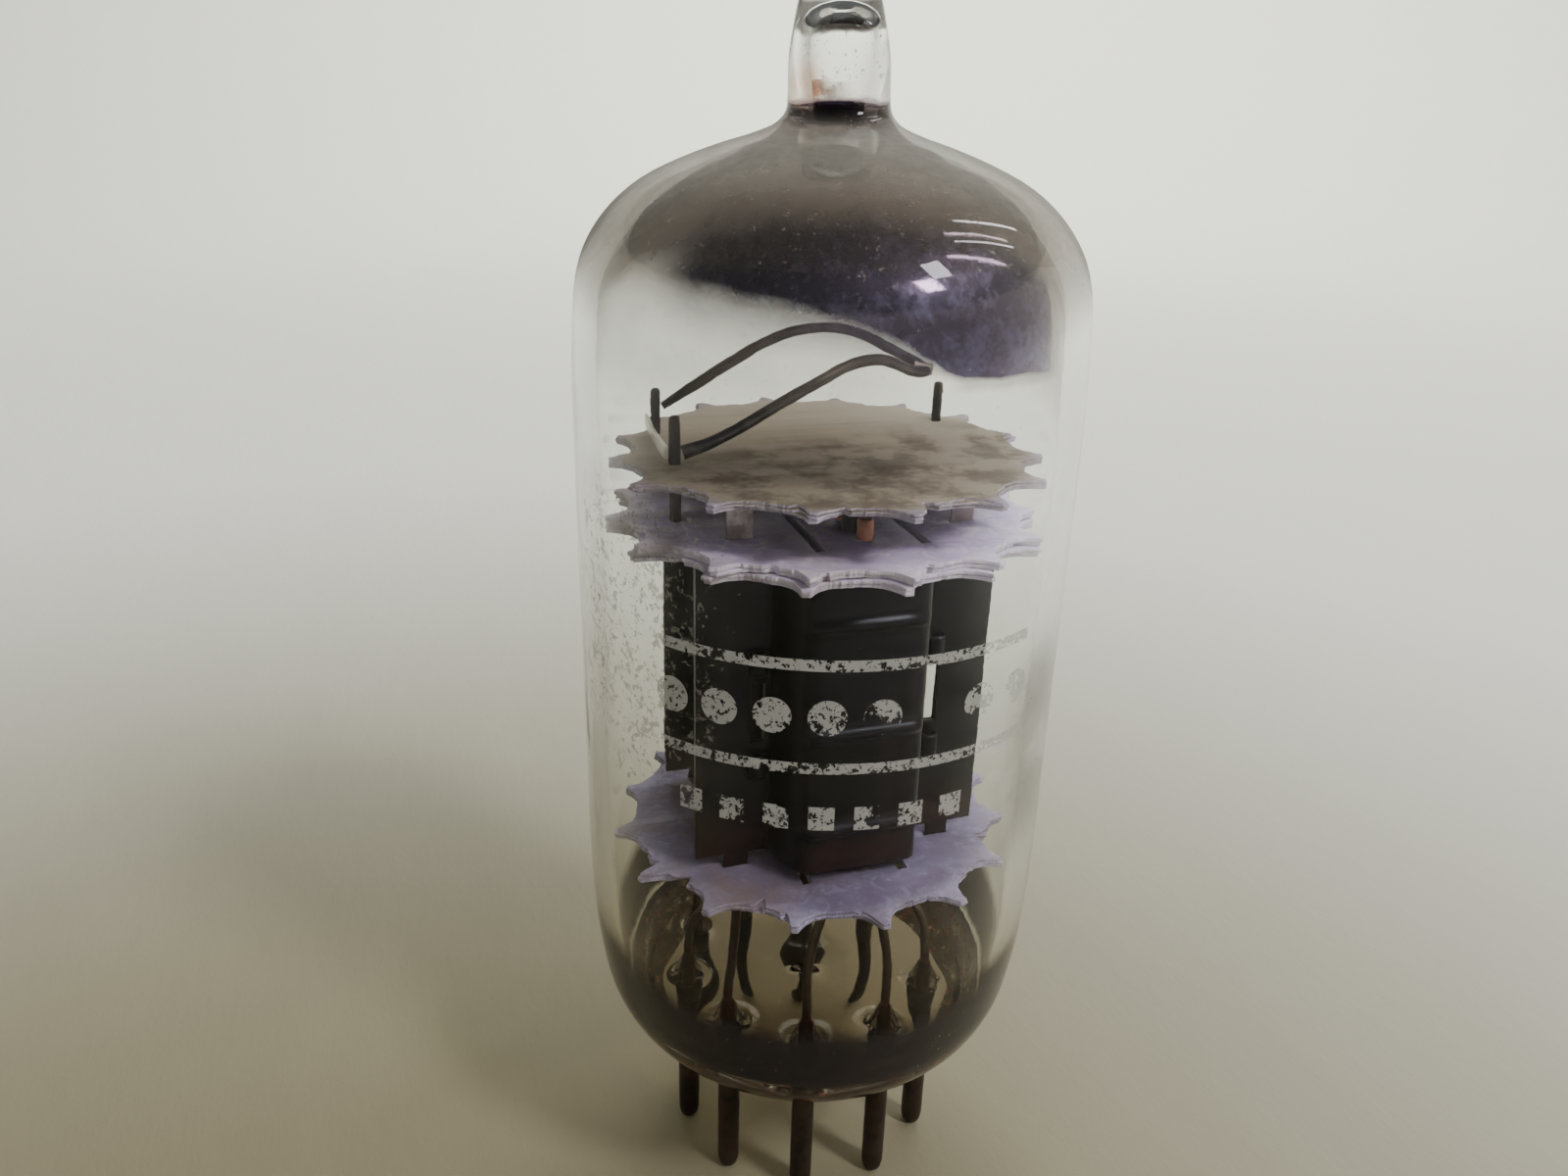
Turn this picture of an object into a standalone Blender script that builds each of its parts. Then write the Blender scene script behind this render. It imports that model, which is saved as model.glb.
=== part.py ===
"""Nine-pin miniature twin triode, an all-glass vacuum tube.

Frame: metres, +Z up along the bulb, origin at the centre of the glass seating
face. +X runs along the wide flanges of the anodes, and the first triode lies
towards -Y. The nine pins stand on a circle with a gap in the tenth place,
which is at +X.
"""

import math

import bmesh
import bpy
from mathutils import Matrix, Vector

MM = 0.001

# --- driving dimensions, in millimetres -------------------------------------
BULB_R = 10.3            # outer radius of the straight part of the bulb
WALL = 0.95              # glass wall
DOME_TOP = 41.0          # rim that the exhaust tubing is fused onto
TIP_TOP = 47.1           # closed end of the exhaust tubing
TIP_R = 1.92
STEM_R = 7.05            # seating face radius
STEM_TOP = 2.3
GLASS_GAP = 0.04

PIN_CIRCLE_R = 11.89 / 2
PIN_R = 1.016 / 2
PIN_BOTTOM = -6.6
PIN_TOP = 1.2            # where the hard pin meets the seal wire in the glass
FIRST_PIN_AZ = 126.0     # degrees from -Y towards +X
PIN_STEP = 36.0
BEAD_TOP = 3.9
LEAD_R = 0.21

MICA_R = 9.2             # tips of the spurs
MICA_WAIST_R = 8.15      # bottom of the scallops between them
MICA_T = 0.33
SPURS = 16
BOTTOM_MICA_Z = 10.8
MIDDLE_MICA_Z = 25.2
TOP_MICA_Z = 27.9
PLY_GAP = 0.04

TRIODE_Y = 3.65          # the two triodes' centres are at -Y and +Y
PLATE_D = 2.26           # from the seam to the flat face
PLATE_FACE_X = 2.3       # half width of the flat face
PLATE_ROOT_X = 3.3       # half width of the box where it meets the flanges
FLANGE_X = 6.3
SHEET = 0.15
SEAM = 0.09              # each half's mid surface stands off the seam plane
PLATE_LOW = 11.3
PLATE_HIGH = 25.1
EAR_X = (4.1, 5.1)
EAR_LOW = 9.9
EAR_HIGH = 27.5
SLOT_X = (3.5, 4.1)
SLOT_Z = (16.9, 19.6)
RIB_Z = (13.7, 18.1, 22.8)
RIB_H = 0.26
RIB_W = 0.38

ROD_R = 0.32
ROD_DY = 1.2
ROD_LOW = 9.9
ROD_HIGH = 26.7
SLEEVE_R = 0.51
SLEEVE_BORE = 0.41
SLEEVE_LOW = 10.0
SLEEVE_HIGH = 26.6
HEATER_R = 0.13
WINDING_R = 0.05
WINDING_PITCH = 1.05

POST_R = 0.225
POSTS = {"post_rear_left": (-6.55, 3.5, 30.15),
         "post_front_left": (-6.54, -1.2, 30.1),
         "post_right": (6.55, 3.2, 30.0)}
POST_LOW = 24.5
GETTER_R = 0.24

# --- scene -------------------------------------------------------------------
for old in list(bpy.data.objects):
    bpy.data.objects.remove(old, do_unlink=True)

tube = bpy.data.collections.new("vacuum_tube")
cutters = bpy.data.collections.new("cutters")
bpy.context.scene.collection.children.link(tube)
bpy.context.scene.collection.children.link(cutters)


def material(name, rgb, rough, metal, transmission=0.0):
    mat = bpy.data.materials.new(name)
    mat.use_nodes = True
    bsdf = mat.node_tree.nodes["Principled BSDF"]
    bsdf.inputs["Base Color"].default_value = (*rgb, 1.0)
    bsdf.inputs["Roughness"].default_value = rough
    bsdf.inputs["Metallic"].default_value = metal
    bsdf.inputs["Transmission Weight"].default_value = transmission
    return mat


GLASS = material("bulb_glass", (0.93, 0.95, 0.93), 0.02, 0.0, 1.0)
STEM_GLASS = material("stem_glass", (0.88, 0.88, 0.8), 0.05, 0.0, 1.0)
PIN_METAL = material("pin_metal", (0.16, 0.11, 0.08), 0.55, 0.8)
LEAD_METAL = material("lead_metal", (0.32, 0.24, 0.18), 0.45, 0.9)
MICA = material("mica", (0.72, 0.68, 0.74), 0.35, 0.0)
BLACK_PLATE = material("blackened_plate", (0.03, 0.028, 0.03), 0.5, 0.6)
COPPER = material("copper_rod", (0.62, 0.28, 0.2), 0.35, 1.0)
GRID_WIRE = material("grid_wire", (0.55, 0.5, 0.4), 0.35, 1.0)
NICKEL = material("nickel", (0.5, 0.49, 0.47), 0.35, 1.0)
CERAMIC = material("heater_coating", (0.85, 0.84, 0.8), 0.8, 0.0)
GETTER_STEEL = material("getter_wire", (0.16, 0.15, 0.16), 0.35, 0.9)


def finish(obj, mat, collection=tube, smooth=True):
    collection.objects.link(obj)
    obj.data.materials.clear()
    obj.data.materials.append(mat)
    if smooth and obj.type == "MESH":
        obj.data.shade_smooth()
        obj.data.set_sharp_from_angle(angle=math.radians(35))
    return obj


def as_cutter(obj):
    obj.hide_render = True
    obj.display_type = "WIRE"
    return obj


def turned(name, profile, steps, mat, closed=False, collection=tube):
    """A turned solid from (radius, height) points in mm, outer side first."""
    bm = bmesh.new()
    verts = [bm.verts.new((r * MM, 0.0, z * MM)) for r, z in profile]
    for a, b in zip(verts, verts[1:]):
        bm.edges.new((a, b))
    if closed:
        bm.edges.new((verts[-1], verts[0]))
    mesh = bpy.data.meshes.new(name)
    bm.to_mesh(mesh)
    bm.free()
    obj = finish(bpy.data.objects.new(name, mesh), mat, collection, smooth=False)
    screw = obj.modifiers.new("Turn", "SCREW")
    screw.axis = "Z"
    screw.angle = math.tau
    screw.steps = steps
    screw.render_steps = steps
    screw.use_merge_vertices = True
    screw.merge_threshold = 0.00001
    screw.use_smooth_shade = True
    return obj


def baked(obj):
    """The same object as a plain mesh with its modifiers applied."""
    bpy.context.view_layer.update()
    graph = bpy.context.evaluated_depsgraph_get()
    mesh = bpy.data.meshes.new_from_object(obj.evaluated_get(graph))
    bm = bmesh.new()
    bm.from_mesh(mesh)
    bmesh.ops.remove_doubles(bm, verts=bm.verts, dist=0.000005)
    bm.to_mesh(mesh)
    bm.free()
    new = bpy.data.objects.new(obj.name + "_mesh", mesh)
    new.matrix_world = obj.matrix_world.copy()
    for home in obj.users_collection:
        home.objects.link(new)
    name = obj.name
    bpy.data.objects.remove(obj, do_unlink=True)
    new.name = name
    return new


def wire(name, points, radius, mat, resolution=2):
    """A round wire through points in mm."""
    curve = bpy.data.curves.new(name, "CURVE")
    curve.dimensions = "3D"
    curve.bevel_depth = radius * MM
    curve.bevel_resolution = resolution
    curve.use_fill_caps = True
    spline = curve.splines.new("POLY")
    spline.points.add(len(points) - 1)
    for target, p in zip(spline.points, points):
        target.co = (p[0] * MM, p[1] * MM, p[2] * MM, 1.0)
        target.radius = 1.0
    spline.use_smooth = True
    return finish(bpy.data.objects.new(name, curve), mat)


def smooth_route(points, per_span):
    """Points along a Catmull-Rom curve through the given route."""
    pts = [Vector(p) for p in points]
    pts = [2 * pts[0] - pts[1]] + pts + [2 * pts[-1] - pts[-2]]
    out = []
    for i in range(1, len(pts) - 2):
        a, b, c, d = pts[i - 1 : i + 3]
        for k in range(per_span):
            t = k / per_span
            out.append(0.5 * ((2 * b) + (c - a) * t + (2 * a - 5 * b + 4 * c - d) * t * t
                              + (3 * b - a - 3 * c + d) * t ** 3))
    out.append(pts[-2])
    return out


def around(azimuth, radius):
    a = math.radians(azimuth)
    return radius * math.sin(a), -radius * math.cos(a)


# --- glass envelope ----------------------------------------------------------
def bulb_outline():
    """Outer radius against height: foot, straight wall, shoulder and neck."""
    foot = [(7.45, 0.0), (7.8, 0.4), (8.2, 0.9), (8.85, 1.5), (9.3, 2.2), (9.68, 3.2),
            (9.92, 4.5), (10.15, 6.2), (BULB_R, 8.5), (BULB_R, 28.0), (10.26, 31.0)]
    shoulder = [(10.18, 33.0), (9.97, 35.0), (9.66, 36.0), (9.07, 37.0), (8.35, 37.8),
                (7.45, 38.5), (5.95, 39.25), (4.35, 39.85), (2.85, 40.35), (2.1, 40.75),
                (2.0, DOME_TOP)]
    return foot + shoulder


def inner_outline():
    foot = [(7.1, 0.0), (7.17, 0.4), (7.5, 1.2), (8.0, 2.0), (8.3, 2.6), (8.75, 3.6),
            (9.05, 4.8), (9.22, 6.4), (BULB_R - WALL, 8.7), (BULB_R - WALL, 28.0),
            (BULB_R - WALL - 0.05, 31.0)]
    shoulder = [(9.22, 33.0), (9.0, 34.8), (8.72, 35.6), (8.2, 36.4), (7.6, 37.05),
                (6.9, 37.6), (5.55, 38.3), (4.0, 38.9), (2.6, 39.4), (1.33, 39.8),
                (1.33, DOME_TOP)]
    return foot + shoulder


turned("glass_bulb", list(reversed(bulb_outline())) + inner_outline(), 40, GLASS, closed=True)

turned("exhaust_tip",
       [(0.0, TIP_TOP), (0.45, TIP_TOP - 0.15), (0.9, TIP_TOP - 0.7), (1.25, TIP_TOP - 1.5),
        (1.5, 44.8), (1.68, 44.0), (1.86, 43.0), (TIP_R, 42.0),
        (TIP_R, DOME_TOP + GLASS_GAP), (1.29, DOME_TOP + GLASS_GAP), (1.29, 38.6), (0.9, 38.6),
        (0.95, 41.2), (1.15, 42.3), (0.8, 42.9), (0.0, 43.1)], 24, GLASS)

# --- button stem: a glass disc with a raised bead round each lead -------------
stem = baked(turned("button_stem",
                    [(0.0, STEM_TOP), (7.5, STEM_TOP), (8.12, STEM_TOP + 0.05), (7.94, 2.0),
                     (7.44, 1.2), (7.12, 0.4), (STEM_R, 0.0), (0.0, 0.0)], 40, STEM_GLASS))


def at_pins(name, profile, steps, mat):
    """One turned shape repeated on the pin circle, as one helper mesh."""
    one = baked(turned(name, profile, steps, mat, collection=cutters))
    whole = bmesh.new()
    for i in range(9):
        x, y = around(FIRST_PIN_AZ + PIN_STEP * i, PIN_CIRCLE_R)
        part = bmesh.new()
        part.from_mesh(one.data)
        bmesh.ops.transform(part, matrix=Matrix.Translation((x * MM, y * MM, 0)), verts=part.verts)
        held = bpy.data.meshes.new("held")
        part.to_mesh(held)
        part.free()
        whole.from_mesh(held)
        bpy.data.meshes.remove(held)
    whole.to_mesh(one.data)
    whole.free()
    return as_cutter(one)


beads = at_pins("bead_shapes", [(0.0, BEAD_TOP), (0.38, BEAD_TOP), (0.52, 3.3), (0.8, 2.7),
                                (1.15, 2.2), (1.15, 1.6), (0.0, 1.6)], 14, STEM_GLASS)
holes = at_pins("pin_holes", [(0.0, 5.0), (LEAD_R + 0.06, 5.0), (LEAD_R + 0.06, PIN_TOP + 0.05),
                              (PIN_R + 0.05, PIN_TOP + 0.05), (PIN_R + 0.05, -1.0),
                              (0.0, -1.0)], 14, STEM_GLASS)
for cutter, how in ((beads, "UNION"), (holes, "DIFFERENCE")):
    boolean = stem.modifiers.new(cutter.name, "BOOLEAN")
    boolean.operation = how
    boolean.object = cutter

# --- pins --------------------------------------------------------------------
for i in range(9):
    x, y = around(FIRST_PIN_AZ + PIN_STEP * i, PIN_CIRCLE_R)
    pin = turned(f"pin_{i + 1}", [(0.0, PIN_TOP), (PIN_R, PIN_TOP), (PIN_R, PIN_BOTTOM + 0.45),
                                  (0.36, PIN_BOTTOM + 0.12), (0.2, PIN_BOTTOM),
                                  (0.0, PIN_BOTTOM)], 14, PIN_METAL)
    pin.location = (x * MM, y * MM, 0.0)

# --- leads from the stem to the electrodes -----------------------------------
LEAD_ROUTES = {
    "lead_plate_rear": (1, [(4.7, 3.75, 6.2), (4.62, 4.0, 8.6), (4.6, 4.08, 10.3)]),
    "lead_grid_rear": (2, [(1.84, 5.6, 6.5), (1.3, 5.35, 8.6), (0.66, 5.0, 9.9)]),
    "lead_cathode_rear": (3, [(-1.84, 5.5, 6.2), (-1.55, 5.05, 8.3), (-1.35, 4.65, 9.4)]),
    "lead_heater_rear": (4, [(-4.6, 3.35, 6.0), (-2.4, 3.25, 8.1), (-0.95, 3.4, 8.6)]),
    "lead_heater_front": (5, [(-5.7, -0.4, 6.0), (-3.2, -1.8, 8.1), (-1.35, -3.0, 8.55)]),
    "lead_plate_front": (6, [(-4.7, -3.75, 6.2), (-4.62, -4.0, 8.6), (-4.6, -4.08, 10.3)]),
    "lead_grid_front": (7, [(-1.84, -5.6, 6.5), (-1.3, -5.35, 8.6), (-0.66, -5.0, 9.9)]),
    "lead_cathode_front": (8, [(1.84, -5.5, 6.2), (1.55, -5.05, 8.3), (1.35, -4.65, 9.4)]),
    "lead_heater_tap": (9, [(4.6, -3.2, 6.0), (2.6, -1.6, 8.1), (1.0, 0.0, 8.5)]),
}
for name, (pin_number, route) in LEAD_ROUTES.items():
    x, y = around(FIRST_PIN_AZ + PIN_STEP * (pin_number - 1), PIN_CIRCLE_R)
    start = [(x, y, PIN_TOP + 0.1), (x, y, 3.0), (x, y, BEAD_TOP + 0.3)]
    bend = smooth_route([start[-1]] + route, 3)
    wire(name, start[:-1] + bend, LEAD_R, LEAD_METAL, 1)

# --- micas -------------------------------------------------------------------
def spurred_outline(turn):
    """Points of a disc whose rim is cut into sixteen blunt spurs."""
    pts = []
    half_tip = math.degrees(0.22 / MICA_R)
    pitch = 360.0 / SPURS
    for k in range(SPURS):
        base = k * pitch + turn
        pts.append(around(base - half_tip, MICA_R))
        pts.append(around(base + half_tip, MICA_R))
        for u in (-0.82, -0.45, 0.0, 0.45, 0.82):
            centre = base + pitch / 2
            r = MICA_WAIST_R + (MICA_R - MICA_WAIST_R) * abs(u) ** 3.0 * 0.75
            pts.append(around(centre + u * (pitch / 2 - half_tip), r))
    return pts


def ring(x, y, r, n=10):
    return [(x + r * math.cos(math.tau * k / n), y + r * math.sin(math.tau * k / n))
            for k in range(n)]


def box_hole(x0, x1, y0, y1):
    return [(x0, y0), (x1, y0), (x1, y1), (x0, y1)]


def mica(name, z, turn, holes_xy):
    """A punched sheet, z is its lower face."""
    curve = bpy.data.curves.new(name, "CURVE")
    curve.dimensions = "2D"
    curve.fill_mode = "BOTH"
    curve.extrude = MICA_T / 2 * MM
    for loop in [spurred_outline(turn)] + holes_xy:
        spline = curve.splines.new("POLY")
        spline.points.add(len(loop) - 1)
        for target, (x, y) in zip(spline.points, loop):
            target.co = (x * MM, y * MM, 0.0, 1.0)
        spline.use_cyclic_u = True
    obj = finish(bpy.data.objects.new(name, curve), MICA)
    obj.location = (0.0, 0.0, (z + MICA_T / 2) * MM)
    return obj


post_holes = [ring(x, y, POST_R + 0.06) for x, y, _ in POSTS.values()]
electrode_holes = []
ear_holes = []
getter_slots = []
for side in (-1, 1):
    yc = side * TRIODE_Y
    electrode_holes.append(ring(0, yc, SLEEVE_R + 0.06, 12))
    for dy in (-ROD_DY, ROD_DY):
        electrode_holes.append(ring(0, yc + dy, ROD_R + 0.05))
    for flip in (-1, 1):
        xs = sorted((flip * (EAR_X[0] - 0.1), flip * (EAR_X[1] + 0.1)))
        y_ear = yc + side * SEAM
        ear_holes.append(box_hole(xs[0], xs[1], y_ear - 0.17, y_ear + 0.17))
        getter_slots.append(box_hole(flip * 2.1 - 0.22, flip * 2.1 + 0.22,
                                     *sorted((side * 1.0, side * 5.9))))
working = electrode_holes + ear_holes + getter_slots
mica("mica_bottom", BOTTOM_MICA_Z, 0.0, working)
mica("mica_middle_lower", MIDDLE_MICA_Z, 0.0, working + post_holes)
mica("mica_middle_upper", MIDDLE_MICA_Z + MICA_T + PLY_GAP, 1.6, working + post_holes)
mica("mica_top", TOP_MICA_Z, 0.8, post_holes)


# --- anodes: each is two pressed half shells --------------------------------
def plate_section():
    """Half shell in plan: (x, distance from the seam), flange, box, flange."""
    left = [(-FLANGE_X, 0.0), (-EAR_X[1], 0.0), (-EAR_X[0], 0.0), (-SLOT_X[0], 0.0),
            (-PLATE_ROOT_X, 0.0), (-PLATE_FACE_X - 0.22, PLATE_D - 0.42),
            (-PLATE_FACE_X, PLATE_D - 0.1), (-PLATE_FACE_X + 0.3, PLATE_D),
            (-PLATE_FACE_X + 0.7, PLATE_D)]
    return left + [(-x, d) for x, d in reversed(left)]


def plate_rows():
    rows = [EAR_LOW, PLATE_LOW, SLOT_Z[0], SLOT_Z[1], PLATE_HIGH, EAR_HIGH]
    for z in RIB_Z:
        rows += [z - RIB_W, z, z + RIB_W]
    return sorted(rows)


def plate(name, side, outward, eared):
    """side: -1 front triode, 1 rear. outward: direction of the box along Y."""
    section = plate_section()
    rows = plate_rows()
    bm = bmesh.new()
    bmesh.ops.create_grid(bm, x_segments=len(section) - 1, y_segments=len(rows) - 1, size=1.0)
    nx, nz = len(section) - 1, len(rows) - 1
    where = {}
    for v in bm.verts:
        i = round((v.co.x + 1) / 2 * nx)
        j = round((v.co.y + 1) / 2 * nz)
        where[v] = (i, j)
    gone = []
    for f in bm.faces:
        i = min(where[v][0] for v in f.verts)
        j = min(where[v][1] for v in f.verts)
        x_mid = abs(section[i][0] + section[i + 1][0]) / 2
        z_mid = (rows[j] + rows[j + 1]) / 2
        in_ear = EAR_X[0] < x_mid < EAR_X[1] and eared
        beyond = not PLATE_LOW < z_mid < PLATE_HIGH
        in_slot = SLOT_X[0] < x_mid < SLOT_X[1] and SLOT_Z[0] < z_mid < SLOT_Z[1]
        if (beyond and not in_ear) or in_slot:
            gone.append(f)
    bmesh.ops.delete(bm, geom=gone, context="FACES")
    for v in bm.verts:
        i, j = where[v]
        x, d = section[i]
        z = rows[j]
        # The rib is a low ridge along the flat face.
        if any(abs(z - rib) < 0.01 for rib in RIB_Z) and d > PLATE_D - 0.05 and abs(x) < PLATE_FACE_X - 0.5:
            d += RIB_H
        y = side * TRIODE_Y + outward * (d + SEAM)
        v.co = (x * MM, y * MM, z * MM)
    if outward > 0:
        bmesh.ops.reverse_faces(bm, faces=bm.faces)
    mesh = bpy.data.meshes.new(name)
    bm.to_mesh(mesh)
    bm.free()
    obj = finish(bpy.data.objects.new(name, mesh), BLACK_PLATE)
    solid = obj.modifiers.new("Sheet", "SOLIDIFY")
    solid.thickness = SHEET * MM
    solid.offset = 0.0
    solid.use_even_offset = True
    return obj


plate("plate_front_outer", -1, -1, True)
plate("plate_front_inner", -1, 1, False)
plate("plate_rear_inner", 1, -1, False)
plate("plate_rear_outer", 1, 1, True)


# --- grids, cathodes and heaters ---------------------------------------------
def grid_winding(name, yc):
    pts = []
    low, high, per_turn = PLATE_LOW + 0.4, PLATE_HIGH - 0.4, 8
    count = int((high - low) / WINDING_PITCH * per_turn)
    for k in range(count + 1):
        a = math.tau * k / per_turn
        pts.append((1.25 * math.cos(a), yc + 1.68 * math.sin(a),
                    low + WINDING_PITCH * k / per_turn))
    return wire(name, pts, WINDING_R, GRID_WIRE, 0)


for label, side in (("front", -1), ("rear", 1)):
    yc = side * TRIODE_Y
    for where_, dy in (("outer", side * ROD_DY), ("inner", -side * ROD_DY)):
        rod = turned(f"grid_rod_{label}_{where_}",
                     [(0.0, ROD_HIGH), (ROD_R, ROD_HIGH), (ROD_R, ROD_LOW), (0.0, ROD_LOW)],
                     12, COPPER)
        rod.location = (0.0, (yc + dy) * MM, 0.0)
    grid_winding(f"grid_winding_{label}", yc)
    sleeve = turned(f"cathode_sleeve_{label}",
                    [(SLEEVE_R, SLEEVE_HIGH), (SLEEVE_R, SLEEVE_LOW), (SLEEVE_BORE, SLEEVE_LOW),
                     (SLEEVE_BORE, SLEEVE_HIGH)], 14, NICKEL, closed=True)
    sleeve.location = (0.0, yc * MM, 0.0)
    wire(f"cathode_tail_{label}",
         smooth_route([(-side * 0.68, yc, 10.45), (-side * 0.82, yc + side * 0.25, 9.95),
                       (-side * 1.02, yc + side * 0.62, 9.75)], 2), 0.1, NICKEL, 1)

# Each heater is a hairpin: up one leg, over, and down the other.
top_z = SLEEVE_HIGH - 1.2
wire("heater_front",
     smooth_route([(-0.85, -3.35, 8.95), (-0.3, -3.6, 9.4)], 1)
     + [(-0.2, -3.65, 10.2), (-0.2, -3.65, top_z), (-0.12, -3.65, top_z + 0.2),
        (0.12, -3.65, top_z + 0.2), (0.2, -3.65, top_z), (0.2, -3.65, 10.2)]
     + smooth_route([(0.3, -3.55, 9.5), (0.75, -2.6, 9.05), (1.35, -0.95, 8.95)], 2),
     HEATER_R, CERAMIC, 1)
wire("heater_rear",
     smooth_route([(-0.55, 3.45, 9.05), (-0.3, 3.6, 9.5)], 1)
     + [(-0.2, 3.65, 10.2), (-0.2, 3.65, top_z), (-0.12, 3.65, top_z + 0.2),
        (0.12, 3.65, top_z + 0.2), (0.2, 3.65, top_z), (0.2, 3.65, 10.2)]
     + smooth_route([(0.3, 3.5, 9.5), (0.62, 2.2, 9.05), (0.82, 0.6, 8.95)], 2),
     HEATER_R, CERAMIC, 1)

# --- getter and its posts ------------------------------------------------------
for name, (x, y, top) in POSTS.items():
    post = turned(name, [(0.0, top), (POST_R, top - 0.05), (POST_R, POST_LOW),
                         (0.0, POST_LOW)], 12, NICKEL)
    post.location = (x * MM, y * MM, 0.0)

wire("getter_loop",
     smooth_route([(-6.03, 3.45, 29.45), (-3.43, 3.41, 31.05), (-0.96, 3.1, 32.36),
                   (1.46, 2.55, 32.64), (3.27, 1.98, 31.9), (4.5, 1.52, 31.36),
                   (4.98, 1.2, 31.15), (4.5, 0.86, 31.0), (3.2, 0.54, 31.36),
                   (1.46, 0.03, 31.67), (-0.37, -0.44, 31.11), (-3.78, -1.04, 29.54),
                   (-6.03, -1.18, 28.72)], 3), GETTER_R, GETTER_STEEL, 2)

bpy.ops.mesh.primitive_cube_add(size=1.0)
strap = bpy.context.active_object
strap.name = "getter_crossbar"
for home in list(strap.users_collection):
    home.objects.unlink(strap)
strap.data.transform(Matrix.Diagonal((0.14 * MM, 5.5 * MM, 0.55 * MM, 1.0)))
finish(strap, NICKEL)
strap.location = (-6.9 * MM, 1.15 * MM, 28.72 * MM)
strap_edge = strap.modifiers.new("Edge", "BEVEL")
strap_edge.width = 0.04 * MM
strap_edge.segments = 2
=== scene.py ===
"""The looks of the nine-pin miniature twin triode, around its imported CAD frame."""

import math

import bmesh
import bpy
from mathutils import Matrix, Vector, noise


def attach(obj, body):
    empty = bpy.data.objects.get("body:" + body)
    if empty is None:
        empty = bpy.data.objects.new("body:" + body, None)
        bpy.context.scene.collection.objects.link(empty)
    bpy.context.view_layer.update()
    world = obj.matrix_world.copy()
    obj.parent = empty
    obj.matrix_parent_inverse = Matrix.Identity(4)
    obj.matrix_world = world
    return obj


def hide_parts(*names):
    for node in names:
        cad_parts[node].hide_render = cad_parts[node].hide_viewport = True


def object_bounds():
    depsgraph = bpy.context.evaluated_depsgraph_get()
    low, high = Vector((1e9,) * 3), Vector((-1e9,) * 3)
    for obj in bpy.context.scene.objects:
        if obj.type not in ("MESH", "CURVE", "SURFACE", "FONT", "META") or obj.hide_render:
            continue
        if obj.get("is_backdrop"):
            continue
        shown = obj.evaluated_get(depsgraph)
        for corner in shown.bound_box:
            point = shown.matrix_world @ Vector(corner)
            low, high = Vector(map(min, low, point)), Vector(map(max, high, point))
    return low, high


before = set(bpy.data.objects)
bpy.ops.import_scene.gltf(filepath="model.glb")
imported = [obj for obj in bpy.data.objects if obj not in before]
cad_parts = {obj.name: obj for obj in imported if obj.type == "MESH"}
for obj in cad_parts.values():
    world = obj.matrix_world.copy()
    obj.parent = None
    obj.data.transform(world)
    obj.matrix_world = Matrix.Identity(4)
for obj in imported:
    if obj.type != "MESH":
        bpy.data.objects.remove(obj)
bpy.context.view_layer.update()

MM = 0.001
scene = bpy.context.scene
pieces = bpy.data.collections.new("tube_pieces")
scene.collection.children.link(pieces)

# ----------------------------------------------------------------------------
# sizes, in millimetres, as in the CAD
# ----------------------------------------------------------------------------
PIN_CIRCLE_R = 11.89 / 2
PIN_R = 0.508
PIN_BOTTOM = -6.6
LEAD_R = 0.21
MICA_R, MICA_WAIST_R, SPURS = 9.2, 8.15, 16
MICA_T = 0.33
TRIODE_Y = 3.65
SEAM = 0.09
PLATE_D = 2.26
RIB_Z = (13.7, 18.1, 22.8)
PLATE_LOW, PLATE_HIGH = 11.7, 25.1
EAR_X, EAR_LOW, EAR_HIGH = (4.1, 5.1), 9.9, 27.5
SLOT_X, SLOT_Z = (3.5, 4.1), (16.9, 19.6)
ROD_R, ROD_DY, ROD_LOW, ROD_HIGH = 0.32, 1.2, 9.9, 26.7
FRONT_AZ = math.radians(-19.68)


def around(azimuth, radius):
    a = math.radians(azimuth)
    return radius * math.sin(a), -radius * math.cos(a)


PIN_XY = [around(126 + 36 * i, PIN_CIRCLE_R) for i in range(9)]


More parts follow.
